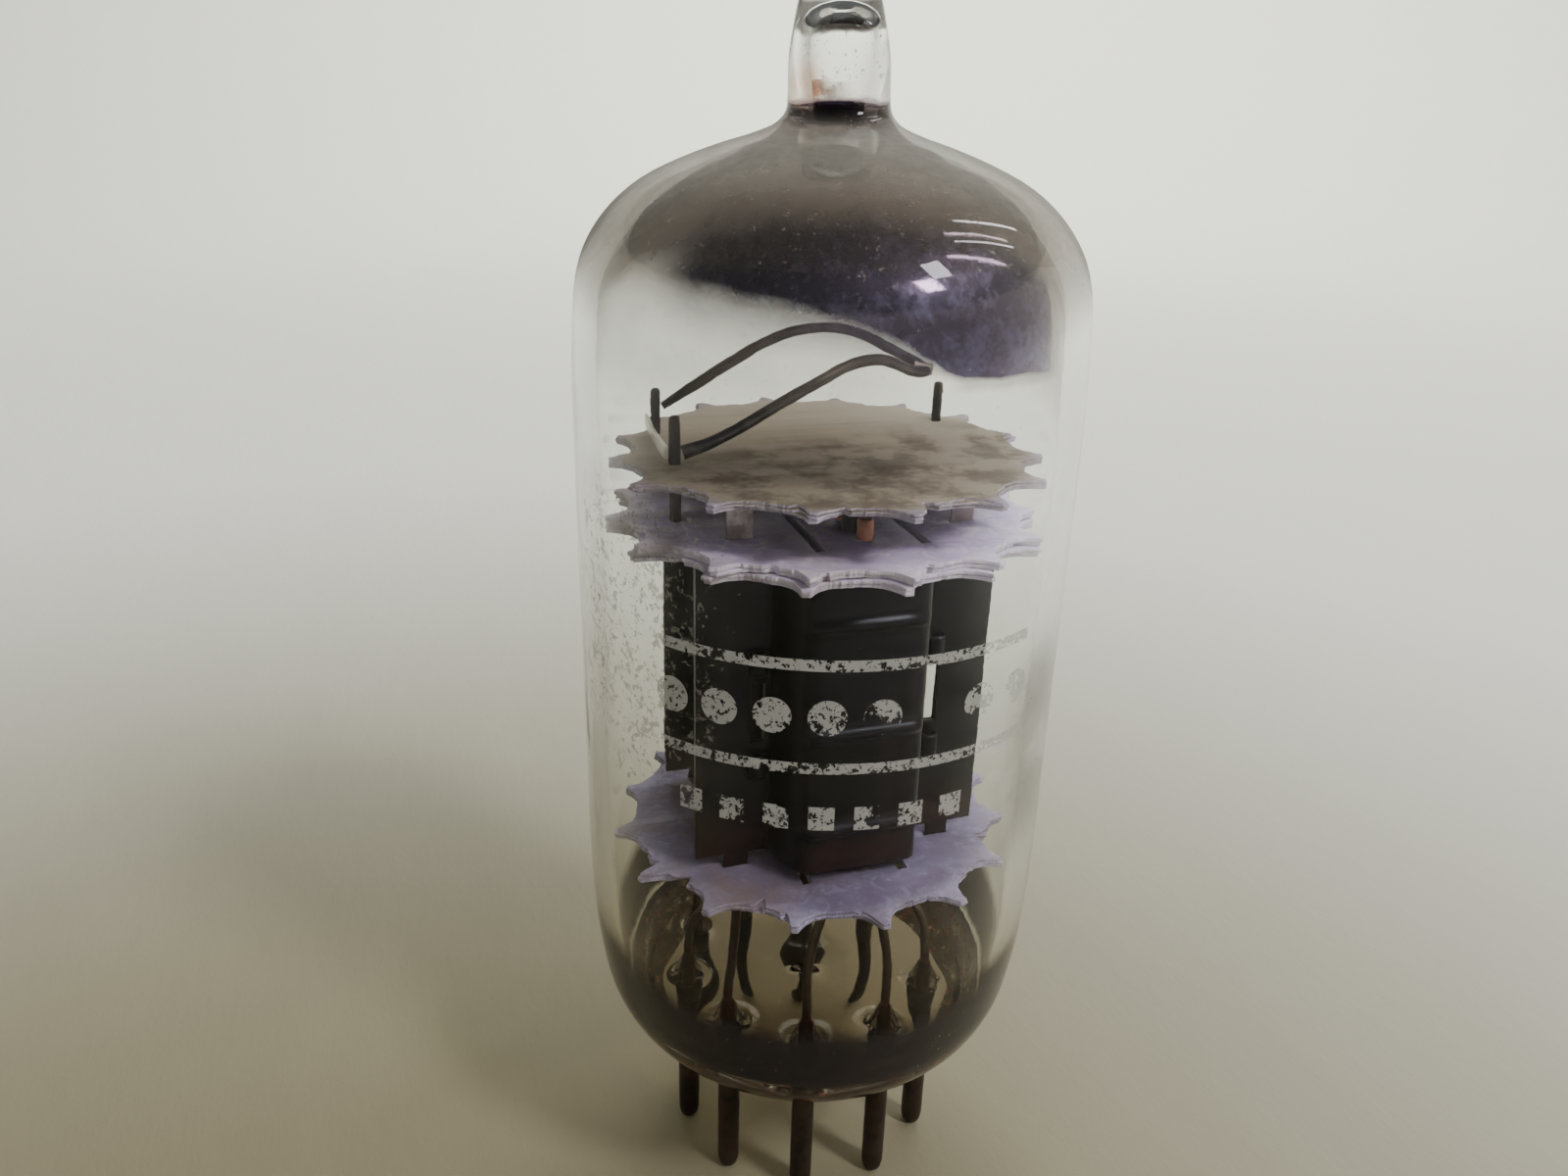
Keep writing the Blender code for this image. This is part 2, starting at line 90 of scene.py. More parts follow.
# ----------------------------------------------------------------------------
# node helpers
# ----------------------------------------------------------------------------
class Nodes:
    """A small wrapper that keeps material building short."""

    def __init__(self, name):
        self.mat = bpy.data.materials.new(name)
        self.mat.use_nodes = True
        self.tree = self.mat.node_tree
        for n in list(self.tree.nodes):
            self.tree.nodes.remove(n)
        self.out = self.tree.nodes.new("ShaderNodeOutputMaterial")
        self.coords = None

    def add(self, kind, **settings):
        node = self.tree.nodes.new(kind)
        for key, value in settings.items():
            setattr(node, key, value)
        return node

    def link(self, a, b):
        self.tree.links.new(a, b)

    def put(self, socket, value):
        if hasattr(value, "is_output"):
            self.link(value, socket)
        else:
            socket.default_value = value

    def position(self):
        """Object coordinates, in metres."""
        if self.coords is None:
            self.coords = self.add("ShaderNodeTexCoord")
        return self.coords.outputs["Object"]

    def xyz(self):
        sep = self.add("ShaderNodeSeparateXYZ")
        self.link(self.position(), sep.inputs[0])
        return sep.outputs[0], sep.outputs[1], sep.outputs[2]

    def math(self, op, a, b=0.0, c=0.0, clamp=False):
        node = self.add("ShaderNodeMath", operation=op, use_clamp=clamp)
        self.put(node.inputs[0], a)
        if len(node.inputs) > 1:
            self.put(node.inputs[1], b)
        if len(node.inputs) > 2:
            self.put(node.inputs[2], c)
        return node.outputs[0]

    def ramp(self, value, low, high, smooth=True):
        """0 below low and 1 above high."""
        node = self.add("ShaderNodeMapRange", interpolation_type="SMOOTHSTEP" if smooth else "LINEAR")
        self.put(node.inputs["Value"], value)
        if low <= high:
            node.inputs["From Min"].default_value = low
            node.inputs["From Max"].default_value = high
            node.inputs["To Min"].default_value = 0.0
            node.inputs["To Max"].default_value = 1.0
        else:
            node.inputs["From Min"].default_value = high
            node.inputs["From Max"].default_value = low
            node.inputs["To Min"].default_value = 1.0
            node.inputs["To Max"].default_value = 0.0
        return node.outputs["Result"]

    def noise(self, scale, detail=4.0, rough=0.55, stretch=None, distortion=0.0, offset=(0, 0, 0)):
        node = self.add("ShaderNodeTexNoise")
        node.inputs["Scale"].default_value = scale
        node.inputs["Detail"].default_value = detail
        node.inputs["Roughness"].default_value = rough
        node.inputs["Distortion"].default_value = distortion
        mapping = self.add("ShaderNodeMapping")
        mapping.inputs["Scale"].default_value = stretch or (1, 1, 1)
        mapping.inputs["Location"].default_value = offset
        self.link(self.position(), mapping.inputs["Vector"])
        self.link(mapping.outputs[0], node.inputs["Vector"])
        return node.outputs["Fac"]

    def cells(self, scale, feature="F1", stretch=None, offset=(0, 0, 0)):
        node = self.add("ShaderNodeTexVoronoi", feature=feature)
        node.inputs["Scale"].default_value = scale
        mapping = self.add("ShaderNodeMapping")
        mapping.inputs["Scale"].default_value = stretch or (1, 1, 1)
        mapping.inputs["Location"].default_value = offset
        self.link(self.position(), mapping.inputs["Vector"])
        self.link(mapping.outputs[0], node.inputs["Vector"])
        return node

    def mix(self, factor, a, b):
        node = self.add("ShaderNodeMix", data_type="RGBA")
        self.put(node.inputs[0], factor)
        for socket, value in ((node.inputs[6], a), (node.inputs[7], b)):
            if isinstance(value, tuple) and len(value) == 3:
                value = (*value, 1.0)
            self.put(socket, value)
        return node.outputs[2]

    def bump(self, height, strength, distance):
        node = self.add("ShaderNodeBump")
        node.inputs["Strength"].default_value = strength
        node.inputs["Distance"].default_value = distance
        self.put(node.inputs["Height"], height)
        return node.outputs[0]

    def principled(self, **values):
        node = self.add("ShaderNodeBsdfPrincipled")
        for key, value in values.items():
            name = key.replace("_", " ")
            if isinstance(value, tuple) and len(value) == 3 and name != "Normal":
                value = (*value, 1.0)
            self.put(node.inputs[name], value)
        return node

    def mix_shader(self, factor, a, b):
        node = self.add("ShaderNodeMixShader")
        self.put(node.inputs[0], factor)
        self.link(a, node.inputs[1])
        self.link(b, node.inputs[2])
        return node.outputs[0]

    def transparent(self, colour):
        node = self.add("ShaderNodeBsdfTransparent")
        self.put(node.inputs[0], (*colour, 1.0) if isinstance(colour, tuple) and len(colour) == 3 else colour)
        return node.outputs[0]

    def curve(self, value, points):
        """A smooth function of value (0 to 1) through the given points."""
        node = self.add("ShaderNodeFloatCurve")
        line = node.mapping.curves[0]
        for i, (x, y) in enumerate(points):
            if i < 2:
                line.points[i].location = (x, y)
            else:
                line.points.new(x, y)
        node.mapping.update()
        self.put(node.inputs["Value"], value)
        return node.outputs[0]

    def finish(self, shader):
        self.link(shader, self.out.inputs["Surface"])
        return self.mat


# ----------------------------------------------------------------------------
# mesh helpers
# ----------------------------------------------------------------------------
def new_object(name, mesh, mat, sharp=None):
    obj = bpy.data.objects.new(name, mesh)
    pieces.objects.link(obj)
    mesh.materials.clear()
    mesh.materials.append(mat)
    if sharp is None:
        mesh.shade_smooth()
    else:
        mesh.shade_smooth()
        mesh.set_sharp_from_angle(angle=math.radians(sharp))
    return obj


def catmull(points, per_span, closed=False):
    """Points along a centripetal-like smooth curve through 2D or 3D points."""
    pts = [Vector(p) for p in points]
    if closed:
        pts = [pts[-1]] + pts + [pts[0], pts[1]]
    else:
        pts = [2 * pts[0] - pts[1]] + pts + [2 * pts[-1] - pts[-2]]
    out = []
    for i in range(1, len(pts) - 2):
        a, b, c, d = pts[i - 1 : i + 3]
        # Tangents are scaled by the neighbouring spans, so uneven points don't ring.
        ab, bc, cd = (b - a).length, (c - b).length, (d - c).length
        m1 = ((c - b) / bc - (c - a) / (ab + bc) + (b - a) / ab) * bc if ab > 0 else c - b
        m2 = ((d - c) / cd - (d - b) / (bc + cd) + (c - b) / bc) * bc if cd > 0 else c - b
        for k in range(per_span):
            t = k / per_span
            t2, t3 = t * t, t * t * t
            out.append((2 * t3 - 3 * t2 + 1) * b + (t3 - 2 * t2 + t) * m1
                       + (-2 * t3 + 3 * t2) * c + (t3 - t2) * m2)
    if not closed:
        out.append(pts[-2])
    return out


def lathe(name, profile, steps, mat, centre=(0.0, 0.0), sharp=None, warp=None, into=None):
    """Turns (radius, z) points in mm round a vertical axis. A radius of 0 closes at a pole.
    warp(x, y, z) may move each point, in mm."""
    bm = into or bmesh.new()
    rings = []
    for r, z in profile:
        if r < 1e-6:
            rings.append([bm.verts.new((centre[0] * MM, centre[1] * MM, z * MM))])
            continue
        ring = []
        for k in range(steps):
            a = math.tau * k / steps
            x, y, zz = centre[0] + r * math.sin(a), centre[1] - r * math.cos(a), z
            if warp:
                x, y, zz = warp(x, y, zz)
            ring.append(bm.verts.new((x * MM, y * MM, zz * MM)))
        rings.append(ring)
    for upper, lower in zip(rings, rings[1:]):
        for k in range(steps):
            k2 = (k + 1) % steps
            if len(upper) == 1 and len(lower) == 1:
                break
            if len(upper) == 1:
                bm.faces.new((upper[0], lower[k], lower[k2]))
            elif len(lower) == 1:
                bm.faces.new((upper[k2], upper[k], lower[0]))
            else:
                bm.faces.new((upper[k], lower[k], lower[k2], upper[k2]))
    if into is not None:
        return rings
    mesh = bpy.data.meshes.new(name)
    bm.to_mesh(mesh)
    bm.free()
    return new_object(name, mesh, mat, sharp)


def frames_along(path):
    """Parallel-transport frames along a path of Vectors."""
    tangents = []
    for i in range(len(path)):
        a, b = path[max(i - 1, 0)], path[min(i + 1, len(path) - 1)]
        tangents.append((b - a).normalized())
    ref = Vector((0, 0, 1)) if abs(tangents[0].z) < 0.9 else Vector((1, 0, 0))
    side = tangents[0].cross(ref).normalized()
    out = []
    for i, t in enumerate(tangents):
        side = (side - t * side.dot(t)).normalized()
        out.append((t, side, t.cross(side)))
    return out


def tube_along(name, path, radius, mat, sides=16, flat=None, ripple=0.0, seed=0):
    """A round wire through mm points. radius may be a function of the share along it.
    flat(share) gives (width, thickness) factors for pinched or rolled stretches."""
    path = [Vector(p) for p in path]
    bm = bmesh.new()
    total = len(path) - 1
    rings = []
    for i, (t, s, n) in enumerate(frames_along(path)):
        u = i / total
        r = radius(u) if callable(radius) else radius
        wide, thick = flat(u) if flat else (1.0, 1.0)
        ring = []
        for k in range(sides):
            a = math.tau * k / sides
            rr = r * (1 + ripple * noise.noise(Vector((i * 0.35 + seed, k * 0.5, seed * 3.1))))
            p = path[i] + s * (math.cos(a) * rr * wide) + n * (math.sin(a) * rr * thick)
            ring.append(bm.verts.new(p * MM))
        rings.append(ring)
    for a, b in zip(rings, rings[1:]):
        for k in range(sides):
            k2 = (k + 1) % sides
            bm.faces.new((a[k], a[k2], b[k2], b[k]))
    for ring, flip in ((rings[0], True), (rings[-1], False)):
        # A small crown on each end, so that it doesn't look sawn off by a machine.
        tip = bm.verts.new(sum((v.co for v in ring), Vector()) / sides)
        for k in range(sides):
            k2 = (k + 1) % sides
            bm.faces.new((ring[k2], ring[k], tip) if flip else (ring[k], ring[k2], tip))
    bmesh.ops.recalc_face_normals(bm, faces=bm.faces)
    mesh = bpy.data.meshes.new(name)
    bm.to_mesh(mesh)
    bm.free()
    return new_object(name, mesh, mat, sharp=50)


def on_root(obj, *nodes, slot=None):
    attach(obj, "root")
    if nodes:
        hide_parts(*nodes)
    return obj


# ----------------------------------------------------------------------------
# materials
# ----------------------------------------------------------------------------
def front_azimuth(m):
    """Azimuth round the tube in degrees, 0 in the middle of the printed side, which carries most of the film."""
    turn = m.add("ShaderNodeVectorRotate", rotation_type="Z_AXIS")
    turn.inputs["Angle"].default_value = -FRONT_AZ
    m.link(m.position(), turn.inputs["Vector"])
    sep = m.add("ShaderNodeSeparateXYZ")
    m.link(turn.outputs[0], sep.inputs[0])
    az = m.math("ARCTAN2", sep.outputs[0], m.math("MULTIPLY", sep.outputs[1], -1.0))
    return m.math("MULTIPLY", az, 180.0 / math.pi)


def window(m, value, a, b, c, d):
    """Rises from a to b, stays at 1, falls from c to d."""
    return m.math("MULTIPLY", m.ramp(value, a, b), m.ramp(value, d, c))


def glass_material():
    m = Nodes("envelope_glass")
    x, y, z = m.xyz()
    zmm = m.math("MULTIPLY", z, 1000.0)
    az = front_azimuth(m)
    radial = m.math("MULTIPLY", 1000.0, m.math("SQRT", m.math("ADD", m.math("POWER", x, 2.0), m.math("POWER", y, 2.0))))
    # Blown glass: long shallow waves round the wall, tighter at the shoulder.
    waves = m.noise(170.0, 2.0, 0.5, stretch=(1, 1, 0.45))
    fine = m.noise(900.0, 3.0, 0.6)
    height = m.math("ADD", waves, m.math("MULTIPLY", fine, 0.05))
    normal = m.bump(height, 0.35, 0.00012)
    outer_high = m.math("MULTIPLY", m.math("GREATER_THAN", radial, 9.62), m.math("LESS_THAN", zmm, 36.0))
    outer_low = m.math("MULTIPLY", m.math("GREATER_THAN", radial, 8.3), m.math("LESS_THAN", zmm, 3.4))
    foot = m.math("MULTIPLY", m.math("LESS_THAN", zmm, 1.6), m.math("GREATER_THAN", radial, 6.9))
    outer = m.math("MAXIMUM", m.math("MAXIMUM", outer_high, outer_low), foot)
    # Where the bulb was sealed to its stem: a near black ring over a brown rim, partly scorched, smoky glass and partly
    # painted shade of the dark gap under the stem.
    drift = m.math("MULTIPLY", m.math("SUBTRACT", m.noise(330.0, 5.0, 0.65), 0.5), 1.5)
    zz = m.math("ADD", zmm, drift)
    ring = m.math("MULTIPLY", m.ramp(zz, 2.6, 3.2), m.ramp(zz, 6.9, 5.5))
    mottle = m.math("ADD", 0.80, m.math("MULTIPLY", m.noise(1300.0, 4.0, 0.65), 0.5))
    ring = m.math("MULTIPLY", m.math("MULTIPLY", ring, mottle), outer, clamp=True)
    rim = m.math("MULTIPLY", m.ramp(zz, 3.0, 2.0), outer)
    amber = m.math("MULTIPLY", m.ramp(zz, 11.5, 5.0), outer)
    tint = m.mix(m.math("MULTIPLY", amber, 0.85), (0.985, 0.99, 0.975), (0.74, 0.68, 0.54))
    tint = m.mix(m.math("MULTIPLY", rim, 0.8), tint, m.mix(m.noise(1500.0, 4.0, 0.7), (0.50, 0.34, 0.24), (0.20, 0.09, 0.06)))
    # Painted shade: the glass of the stem is tinted dark brown, so the floor seen through the base reads dim.
    stem_painted_shade = m.math("MULTIPLY", m.math("LESS_THAN", radial, 8.3), m.math("LESS_THAN", zmm, 4.2))
    tint = m.mix(m.math("MULTIPLY", stem_painted_shade, m.math("ADD", 0.55, m.math("MULTIPLY", mottle, 0.3))), tint, (0.37, 0.31, 0.225))
    # Smoked dome, and the scorch near the end of the tip.
    smoke = m.math("MULTIPLY", m.ramp(m.math("ADD", zmm, m.math("MULTIPLY", drift, 0.8)), 33.0, 38.2), m.ramp(zmm, 41.3, 41.0))
    cloud = m.math("ADD", 0.62, m.math("MULTIPLY", m.noise(260.0, 5.0, 0.6), 0.65))
    tint = m.mix(m.math("MULTIPLY", smoke, cloud, clamp=True), tint, (0.47, 0.415, 0.385))
    # A violet-brown collar where the tubing joins the dome, with a rusty smear over it on one side.
    collar = window(m, m.math("ADD", zmm, m.math("MULTIPLY", drift, 0.25)), 39.7, 40.7, 41.15, 41.4)
    tint = m.mix(m.math("MULTIPLY", collar, 0.85), tint, (0.15, 0.095, 0.145))
    smear = m.math("MULTIPLY", window(m, m.math("ADD", zmm, m.math("MULTIPLY", drift, 0.9)), 41.0, 41.3, 41.9, 43.2),
                   window(m, az, -120.0, -85.0, -50.0, -15.0))
    tint = m.mix(m.math("MULTIPLY", smear, 0.75), tint, (0.62, 0.36, 0.22))
    # The scorch lies on the far side of the tip, so it shows through it as an arch.
    scorch = window(m, m.math("ADD", zmm, m.math("MULTIPLY", drift, 0.8)), 43.6, 43.85, 44.3, 44.6)
    scorch = m.math("MULTIPLY", scorch, m.math("MULTIPLY", m.ramp(m.math("ABSOLUTE", az), 60.0, 110.0), 0.8))
    tint = m.mix(m.math("MULTIPLY", scorch, 0.9), tint, (0.10, 0.05, 0.04))
    glass = m.principled(Base_Color=tint, Roughness=0.012, IOR=1.5, Specular_Tint=(0.20, 0.20, 0.22),
                         Transmission_Weight=1.0, Normal=normal)
    # Painted shade and painted glints: the ring's near black colour is partly shade, and the red specks low on the rim
    # are painted glints.
    dark_and_red_glint_colour = m.mix(m.ramp(m.noise(1700.0, 4.0, 0.7, offset=(3, 3, 5)), 0.50, 0.68), (0.020, 0.012, 0.010), (0.24, 0.042, 0.020))
    soot_and_shade_colour = m.mix(m.noise(900.0, 4.0, 0.6), (0.009, 0.008, 0.0115), (0.032, 0.025, 0.026))
    soot_shade_and_glints = m.principled(Base_Color=m.mix(m.ramp(zz, 3.3, 2.5), soot_and_shade_colour, dark_and_red_glint_colour),
                         Roughness=0.16, Specular_IOR_Level=0.28, Normal=normal)
    soiled = m.math("MULTIPLY", m.math("MULTIPLY", m.ramp(zz, 3.1, 2.2), outer), m.ramp(m.noise(1150.0, 5.0, 0.7, offset=(5, 1, 2)), 0.28, 0.48))
    burn_and_shade = m.math("MAXIMUM", m.math("MULTIPLY", ring, 0.95), m.math("MULTIPLY", scorch, m.math("ADD", 0.35, m.math("MULTIPLY", mottle, 0.5))))
    burn_and_shade = m.math("MAXIMUM", burn_and_shade, m.math("MULTIPLY", soiled, 0.86))
    # Dust, grime and rubbed specks on the outside, thickest on two patches.
    left = m.math("MULTIPLY", window(m, az, -84.0, -58.0, -30.0, -6.0), window(m, zmm, 13.0, 19.0, 27.0, 31.0))
    right = m.math("MULTIPLY", window(m, az, 42.0, 53.0, 68.0, 82.0), window(m, zmm, 11.0, 15.0, 19.5, 23.0))
    back = m.math("MULTIPLY", m.math("GREATER_THAN", m.math("ABSOLUTE", az), 110.0), 0.35)
    base = m.math("ADD", 0.16, m.math("MULTIPLY", m.ramp(m.noise(150.0, 3.0), 0.4, 0.7), 0.3))
    dirty = m.math("MAXIMUM", m.math("MAXIMUM", left, m.math("MULTIPLY", right, 0.75)), m.math("MAXIMUM", base, back))
    dirty = m.math("MAXIMUM", dirty, m.math("MULTIPLY", m.ramp(zmm, 33.5, 36.5), 0.58))
    sprinkle = m.noise(3300.0, 5.0, 0.72)
    clumps = m.noise(620.0, 4.0, 0.65)
    limit = m.math("SUBTRACT", 0.728, m.math("MULTIPLY", dirty, m.math("MULTIPLY", clumps, 0.36)))
    dots = m.ramp(m.math("SUBTRACT", sprinkle, limit), 0.0, 0.03)
    veil = m.math("MULTIPLY", m.math("MULTIPLY", right, m.ramp(m.noise(230.0, 4.0, 0.6), 0.25, 0.55)), 0.50)
    veil_left = m.math("MULTIPLY", m.math("MULTIPLY", left, m.ramp(m.noise(300.0, 5.0, 0.6), 0.35, 0.7)), 0.12)
    # A dust layer reads denser where it's seen edge on.
    rim_weight = m.add("ShaderNodeLayerWeight")
    rim_weight.inputs["Blend"].default_value = 0.5
    grazing = m.math("POWER", rim_weight.outputs["Facing"], 2.1)
    veil_dome = m.math("MULTIPLY", m.math("MULTIPLY", m.ramp(zmm, 33.2, 36.6), m.ramp(zmm, 41.3, 40.6)),
                       m.math("MULTIPLY", cloud, m.math("ADD", 0.055, m.math("MULTIPLY", grazing, 1.25))))
    veil = m.math("MAXIMUM", veil, veil_dome)
    on_outside = m.math("MAXIMUM", outer, m.math("GREATER_THAN", zmm, 36.0))
    dust = m.math("MULTIPLY", m.math("MAXIMUM", m.math("MULTIPLY", dots, 0.52), m.math("MAXIMUM", veil, veil_left)), on_outside)
    dirt_colour = m.mix(m.noise(2400.0, 2.0), (0.36, 0.345, 0.305), (0.215, 0.20, 0.175))
    dirt = m.principled(Base_Color=dirt_colour, Roughness=0.9, Specular_IOR_Level=0.1)
    surface = m.mix_shader(dust, m.mix_shader(burn_and_shade, glass.outputs[0], soot_shade_and_glints.outputs[0]), dirt.outputs[0])
    light = m.add("ShaderNodeLightPath")
    clear = m.transparent(m.mix(burn_and_shade, tint, (0.05, 0.04, 0.035)))
    return m.finish(m.mix_shader(light.outputs["Is Shadow Ray"], surface, clear))


def film_material():
    """Getter film inside the dome: a dark mirror in front, thin and brown at its rim, smoke round it."""
    m = Nodes("getter_film")
    x, y, z = m.xyz()
    az = front_azimuth(m)
    az01 = m.math("ADD", m.math("DIVIDE", az, 360.0), 0.5)
    zmm = m.math("MULTIPLY", z, 1000.0)
    wobble = m.math("SUBTRACT", m.noise(420.0, 5.0, 0.6), 0.5)
    fine = m.math("MULTIPLY", m.math("SUBTRACT", m.noise(2600.0, 4.0, 0.65), 0.5), 0.45)

    def level(points, low=28.0, high=42.0):
        """Height of a boundary in mm as a function of azimuth."""
        pts = [((a / 360.0) + 0.5, (zz - low) / (high - low)) for a, zz in points]
        return m.math("ADD", m.math("MULTIPLY", m.curve(az01, pts), high - low), low)

    # Upper edge, the height where the lower side starts, and the depth over which it fades in.
    top = level([(-180, 30), (-84, 31.5), (-68, 34.3), (-55, 35.9), (-40, 37.1), (-20, 37.85), (0, 38.0),
                 (25, 37.8), (42, 37.2), (52, 36.3), (58, 35.2), (62, 32.5), (75, 30), (180, 30)])
    low = level([(-180, 36), (-84, 35.2), (-68, 34.6), (-50, 33.9), (-35, 33.7), (-20, 33.6), (-5, 33.4),
                 (8, 33.2), (20, 32.85), (30, 32.75), (60, 32.6), (75, 33.0), (180, 36)])
    soft = m.math("ADD", 0.12, m.math("MULTIPLY", m.curve(az01, [(0.0, 1.0), (0.33, 1.0), (0.45, 0.88),
                                                                    (0.52, 0.66), (0.56, 0.30), (0.585, 0.04),
                                                                    (0.70, 0.02), (1.0, 0.02)]), 2.0))
    zz = m.math("ADD", zmm, m.math("MULTIPLY", wobble, 0.5))
    under_top = m.math("SUBTRACT", top, m.math("ADD", zz, fine))
    over_low = m.math("SUBTRACT", zz, low)
    rise_top = m.ramp(under_top, -0.20, 1.0)
    rise_low = m.math("POWER", m.math("DIVIDE", over_low, soft, clamp=True), 1.25)
    thin_left = m.ramp(m.math("ADD", az, m.math("MULTIPLY", wobble, 14.0)), -66.0, -27.0)
    right_end = m.ramp(az, 54.0, 52.6)
    film = m.math("MULTIPLY", m.math("MULTIPLY", rise_top, rise_low), m.math("MULTIPLY", thin_left, right_end), clamp=True)
    specks = m.math("MULTIPLY", m.ramp(m.noise(6000.0, 3.0, 0.7), 0.66, 0.74), 0.35)
    film = m.math("SUBTRACT", film, m.math("MULTIPLY", specks, film), clamp=True)
    # Brown rim, where the film is thin.
    rim_high = m.math("MULTIPLY", m.ramp(under_top, -0.75, 0.05), m.ramp(under_top, 1.3, 0.5))
    rim_high = m.math("MULTIPLY", rim_high, window(m, az, -78.0, -60.0, 60.0, 64.0))
    rim_end = m.math("MULTIPLY", window(m, az, 49.0, 52.0, 55.0, 59.0), window(m, zmm, 32.3, 32.8, 35.6, 36.4))
    edge_low = m.math("MULTIPLY", m.ramp(m.math("ABSOLUTE", over_low), 0.4, 0.05), window(m, az, 24.0, 30.0, 58.0, 62.0))
    rim = m.math("MAXIMUM", m.math("MAXIMUM", rim_high, rim_end), m.math("MULTIPLY", edge_low, 0.7))
    # Smoke over the whole dome and down the right-hand wall.
    dome = m.math("MULTIPLY", m.ramp(zmm, 34.6, 37.6), 0.20)
    side = m.math("MULTIPLY", m.math("MULTIPLY", window(m, az, 50.0, 66.0, 100.0, 140.0), window(m, zmm, 29.4, 31.6, 34.5, 37.5)), 0.34)
    shoulder = m.math("MULTIPLY", m.math("MULTIPLY", window(m, az, -140.0, -100.0, -60.0, -40.0), m.ramp(zmm, 33.6, 36.2)), 0.22)
    cloud = m.math("ADD", 0.62, m.math("MULTIPLY", m.noise(300.0, 5.0, 0.6), 0.75))
    grains = m.math("MULTIPLY", m.ramp(m.noise(5200.0, 3.0, 0.7), 0.6, 0.72), 0.5)
    front = m.math("MULTIPLY", m.math("MULTIPLY", window(m, az, -95.0, -65.0, 0.0, 30.0), m.ramp(zmm, 30.6, 33.2)), 0.34)
    smoke = m.math("MULTIPLY", m.math("MAXIMUM", m.math("MAXIMUM", dome, side), m.math("MAXIMUM", shoulder, front)), cloud)
    smoke = m.math("ADD", smoke, m.math("MULTIPLY", grains, smoke), clamp=True)
    smoke_tint = m.mix(m.noise(240.0, 3.0), (0.34, 0.30, 0.255), (0.21, 0.185, 0.17))
    smoke_dust = m.principled(Base_Color=smoke_tint, Roughness=0.85, Specular_IOR_Level=0.1)
    clear = m.transparent((1.0, 1.0, 1.0))
    haze = m.mix_shader(smoke, clear, smoke_dust.outputs[0])
    rim_shader = m.principled(Base_Color=m.mix(m.noise(500.0), (0.19, 0.10, 0.06), (0.10, 0.06, 0.05)),
                              Roughness=0.4, Metallic=0.2, Specular_IOR_Level=0.3)
    body = m.mix_shader(m.math("MULTIPLY", rim, 0.55), haze, rim_shader.outputs[0])
    depth = m.noise(330.0, 4.0, 0.6)
    mirror_tint = m.mix(m.ramp(depth, 0.3, 0.7), (0.115, 0.085, 0.145), (0.25, 0.20, 0.34))
    mirror_tint = m.mix(m.math("MULTIPLY", m.ramp(zmm, 35.9, 34.2), 0.62), mirror_tint, (0.085, 0.062, 0.082))
    mirror = m.principled(Base_Color=mirror_tint, Roughness=0.07, Metallic=1.0,
                          Normal=m.bump(m.noise(2200.0, 4.0, 0.6), 0.2, 0.00002))
    # A broad bluish bloom over the mirror, where the film is grainy.
    bloom = m.principled(Base_Color=m.mix(depth, (0.22, 0.195, 0.38), (0.42, 0.40, 0.66)), Roughness=0.40, Metallic=1.0)
    grainy = m.math("ADD", 0.10, m.math("MULTIPLY", m.ramp(m.noise(1500.0, 6.0, 0.75), 0.42, 0.66), 0.20))
    skin = m.mix_shader(grainy, mirror.outputs[0], bloom.outputs[0])
    return m.finish(m.mix_shader(film, body, skin))


def neck_film_material():
    m = Nodes("neck_film")
    x, y, z = m.xyz()
    zmm = m.math("MULTIPLY", z, 1000.0)
    streaks = m.noise(1200.0, 4.0, 0.6, stretch=(1, 1, 0.25))
    dark = m.ramp(m.math("ADD", zmm, m.math("MULTIPLY", m.math("SUBTRACT", streaks, 0.5), 1.4)), 38.9, 40.9)
    body = m.math("MULTIPLY", m.ramp(zmm, 38.4, 39.0), m.math("ADD", 0.20, m.math("MULTIPLY", streaks, 0.55)))
    above = m.ramp(zmm, 41.22, 41.14)
    stain = m.math("MULTIPLY", m.math("MULTIPLY", m.ramp(zmm, 41.3, 41.5), m.ramp(zmm, 42.6, 41.7)),
                   m.ramp(m.noise(700.0, 3.0, 0.6), 0.40, 0.58))
    left = m.ramp(x, 0.0003, -0.0008)
    stain = m.math("MULTIPLY", m.math("MULTIPLY", stain, left), 0.85)
    cover = m.math("MULTIPLY", m.math("MAXIMUM", dark, body), above, clamp=True)
    film = m.principled(Base_Color=m.mix(streaks, (0.030, 0.016, 0.032), (0.10, 0.070, 0.125)), Roughness=0.2, Metallic=0.35,
                        Specular_IOR_Level=0.4)
    rust = m.principled(Base_Color=(0.34, 0.12, 0.04), Roughness=0.6)
    base = m.mix_shader(stain, m.transparent((1, 1, 1)), rust.outputs[0])
    return m.finish(m.mix_shader(cover, base, film.outputs[0]))


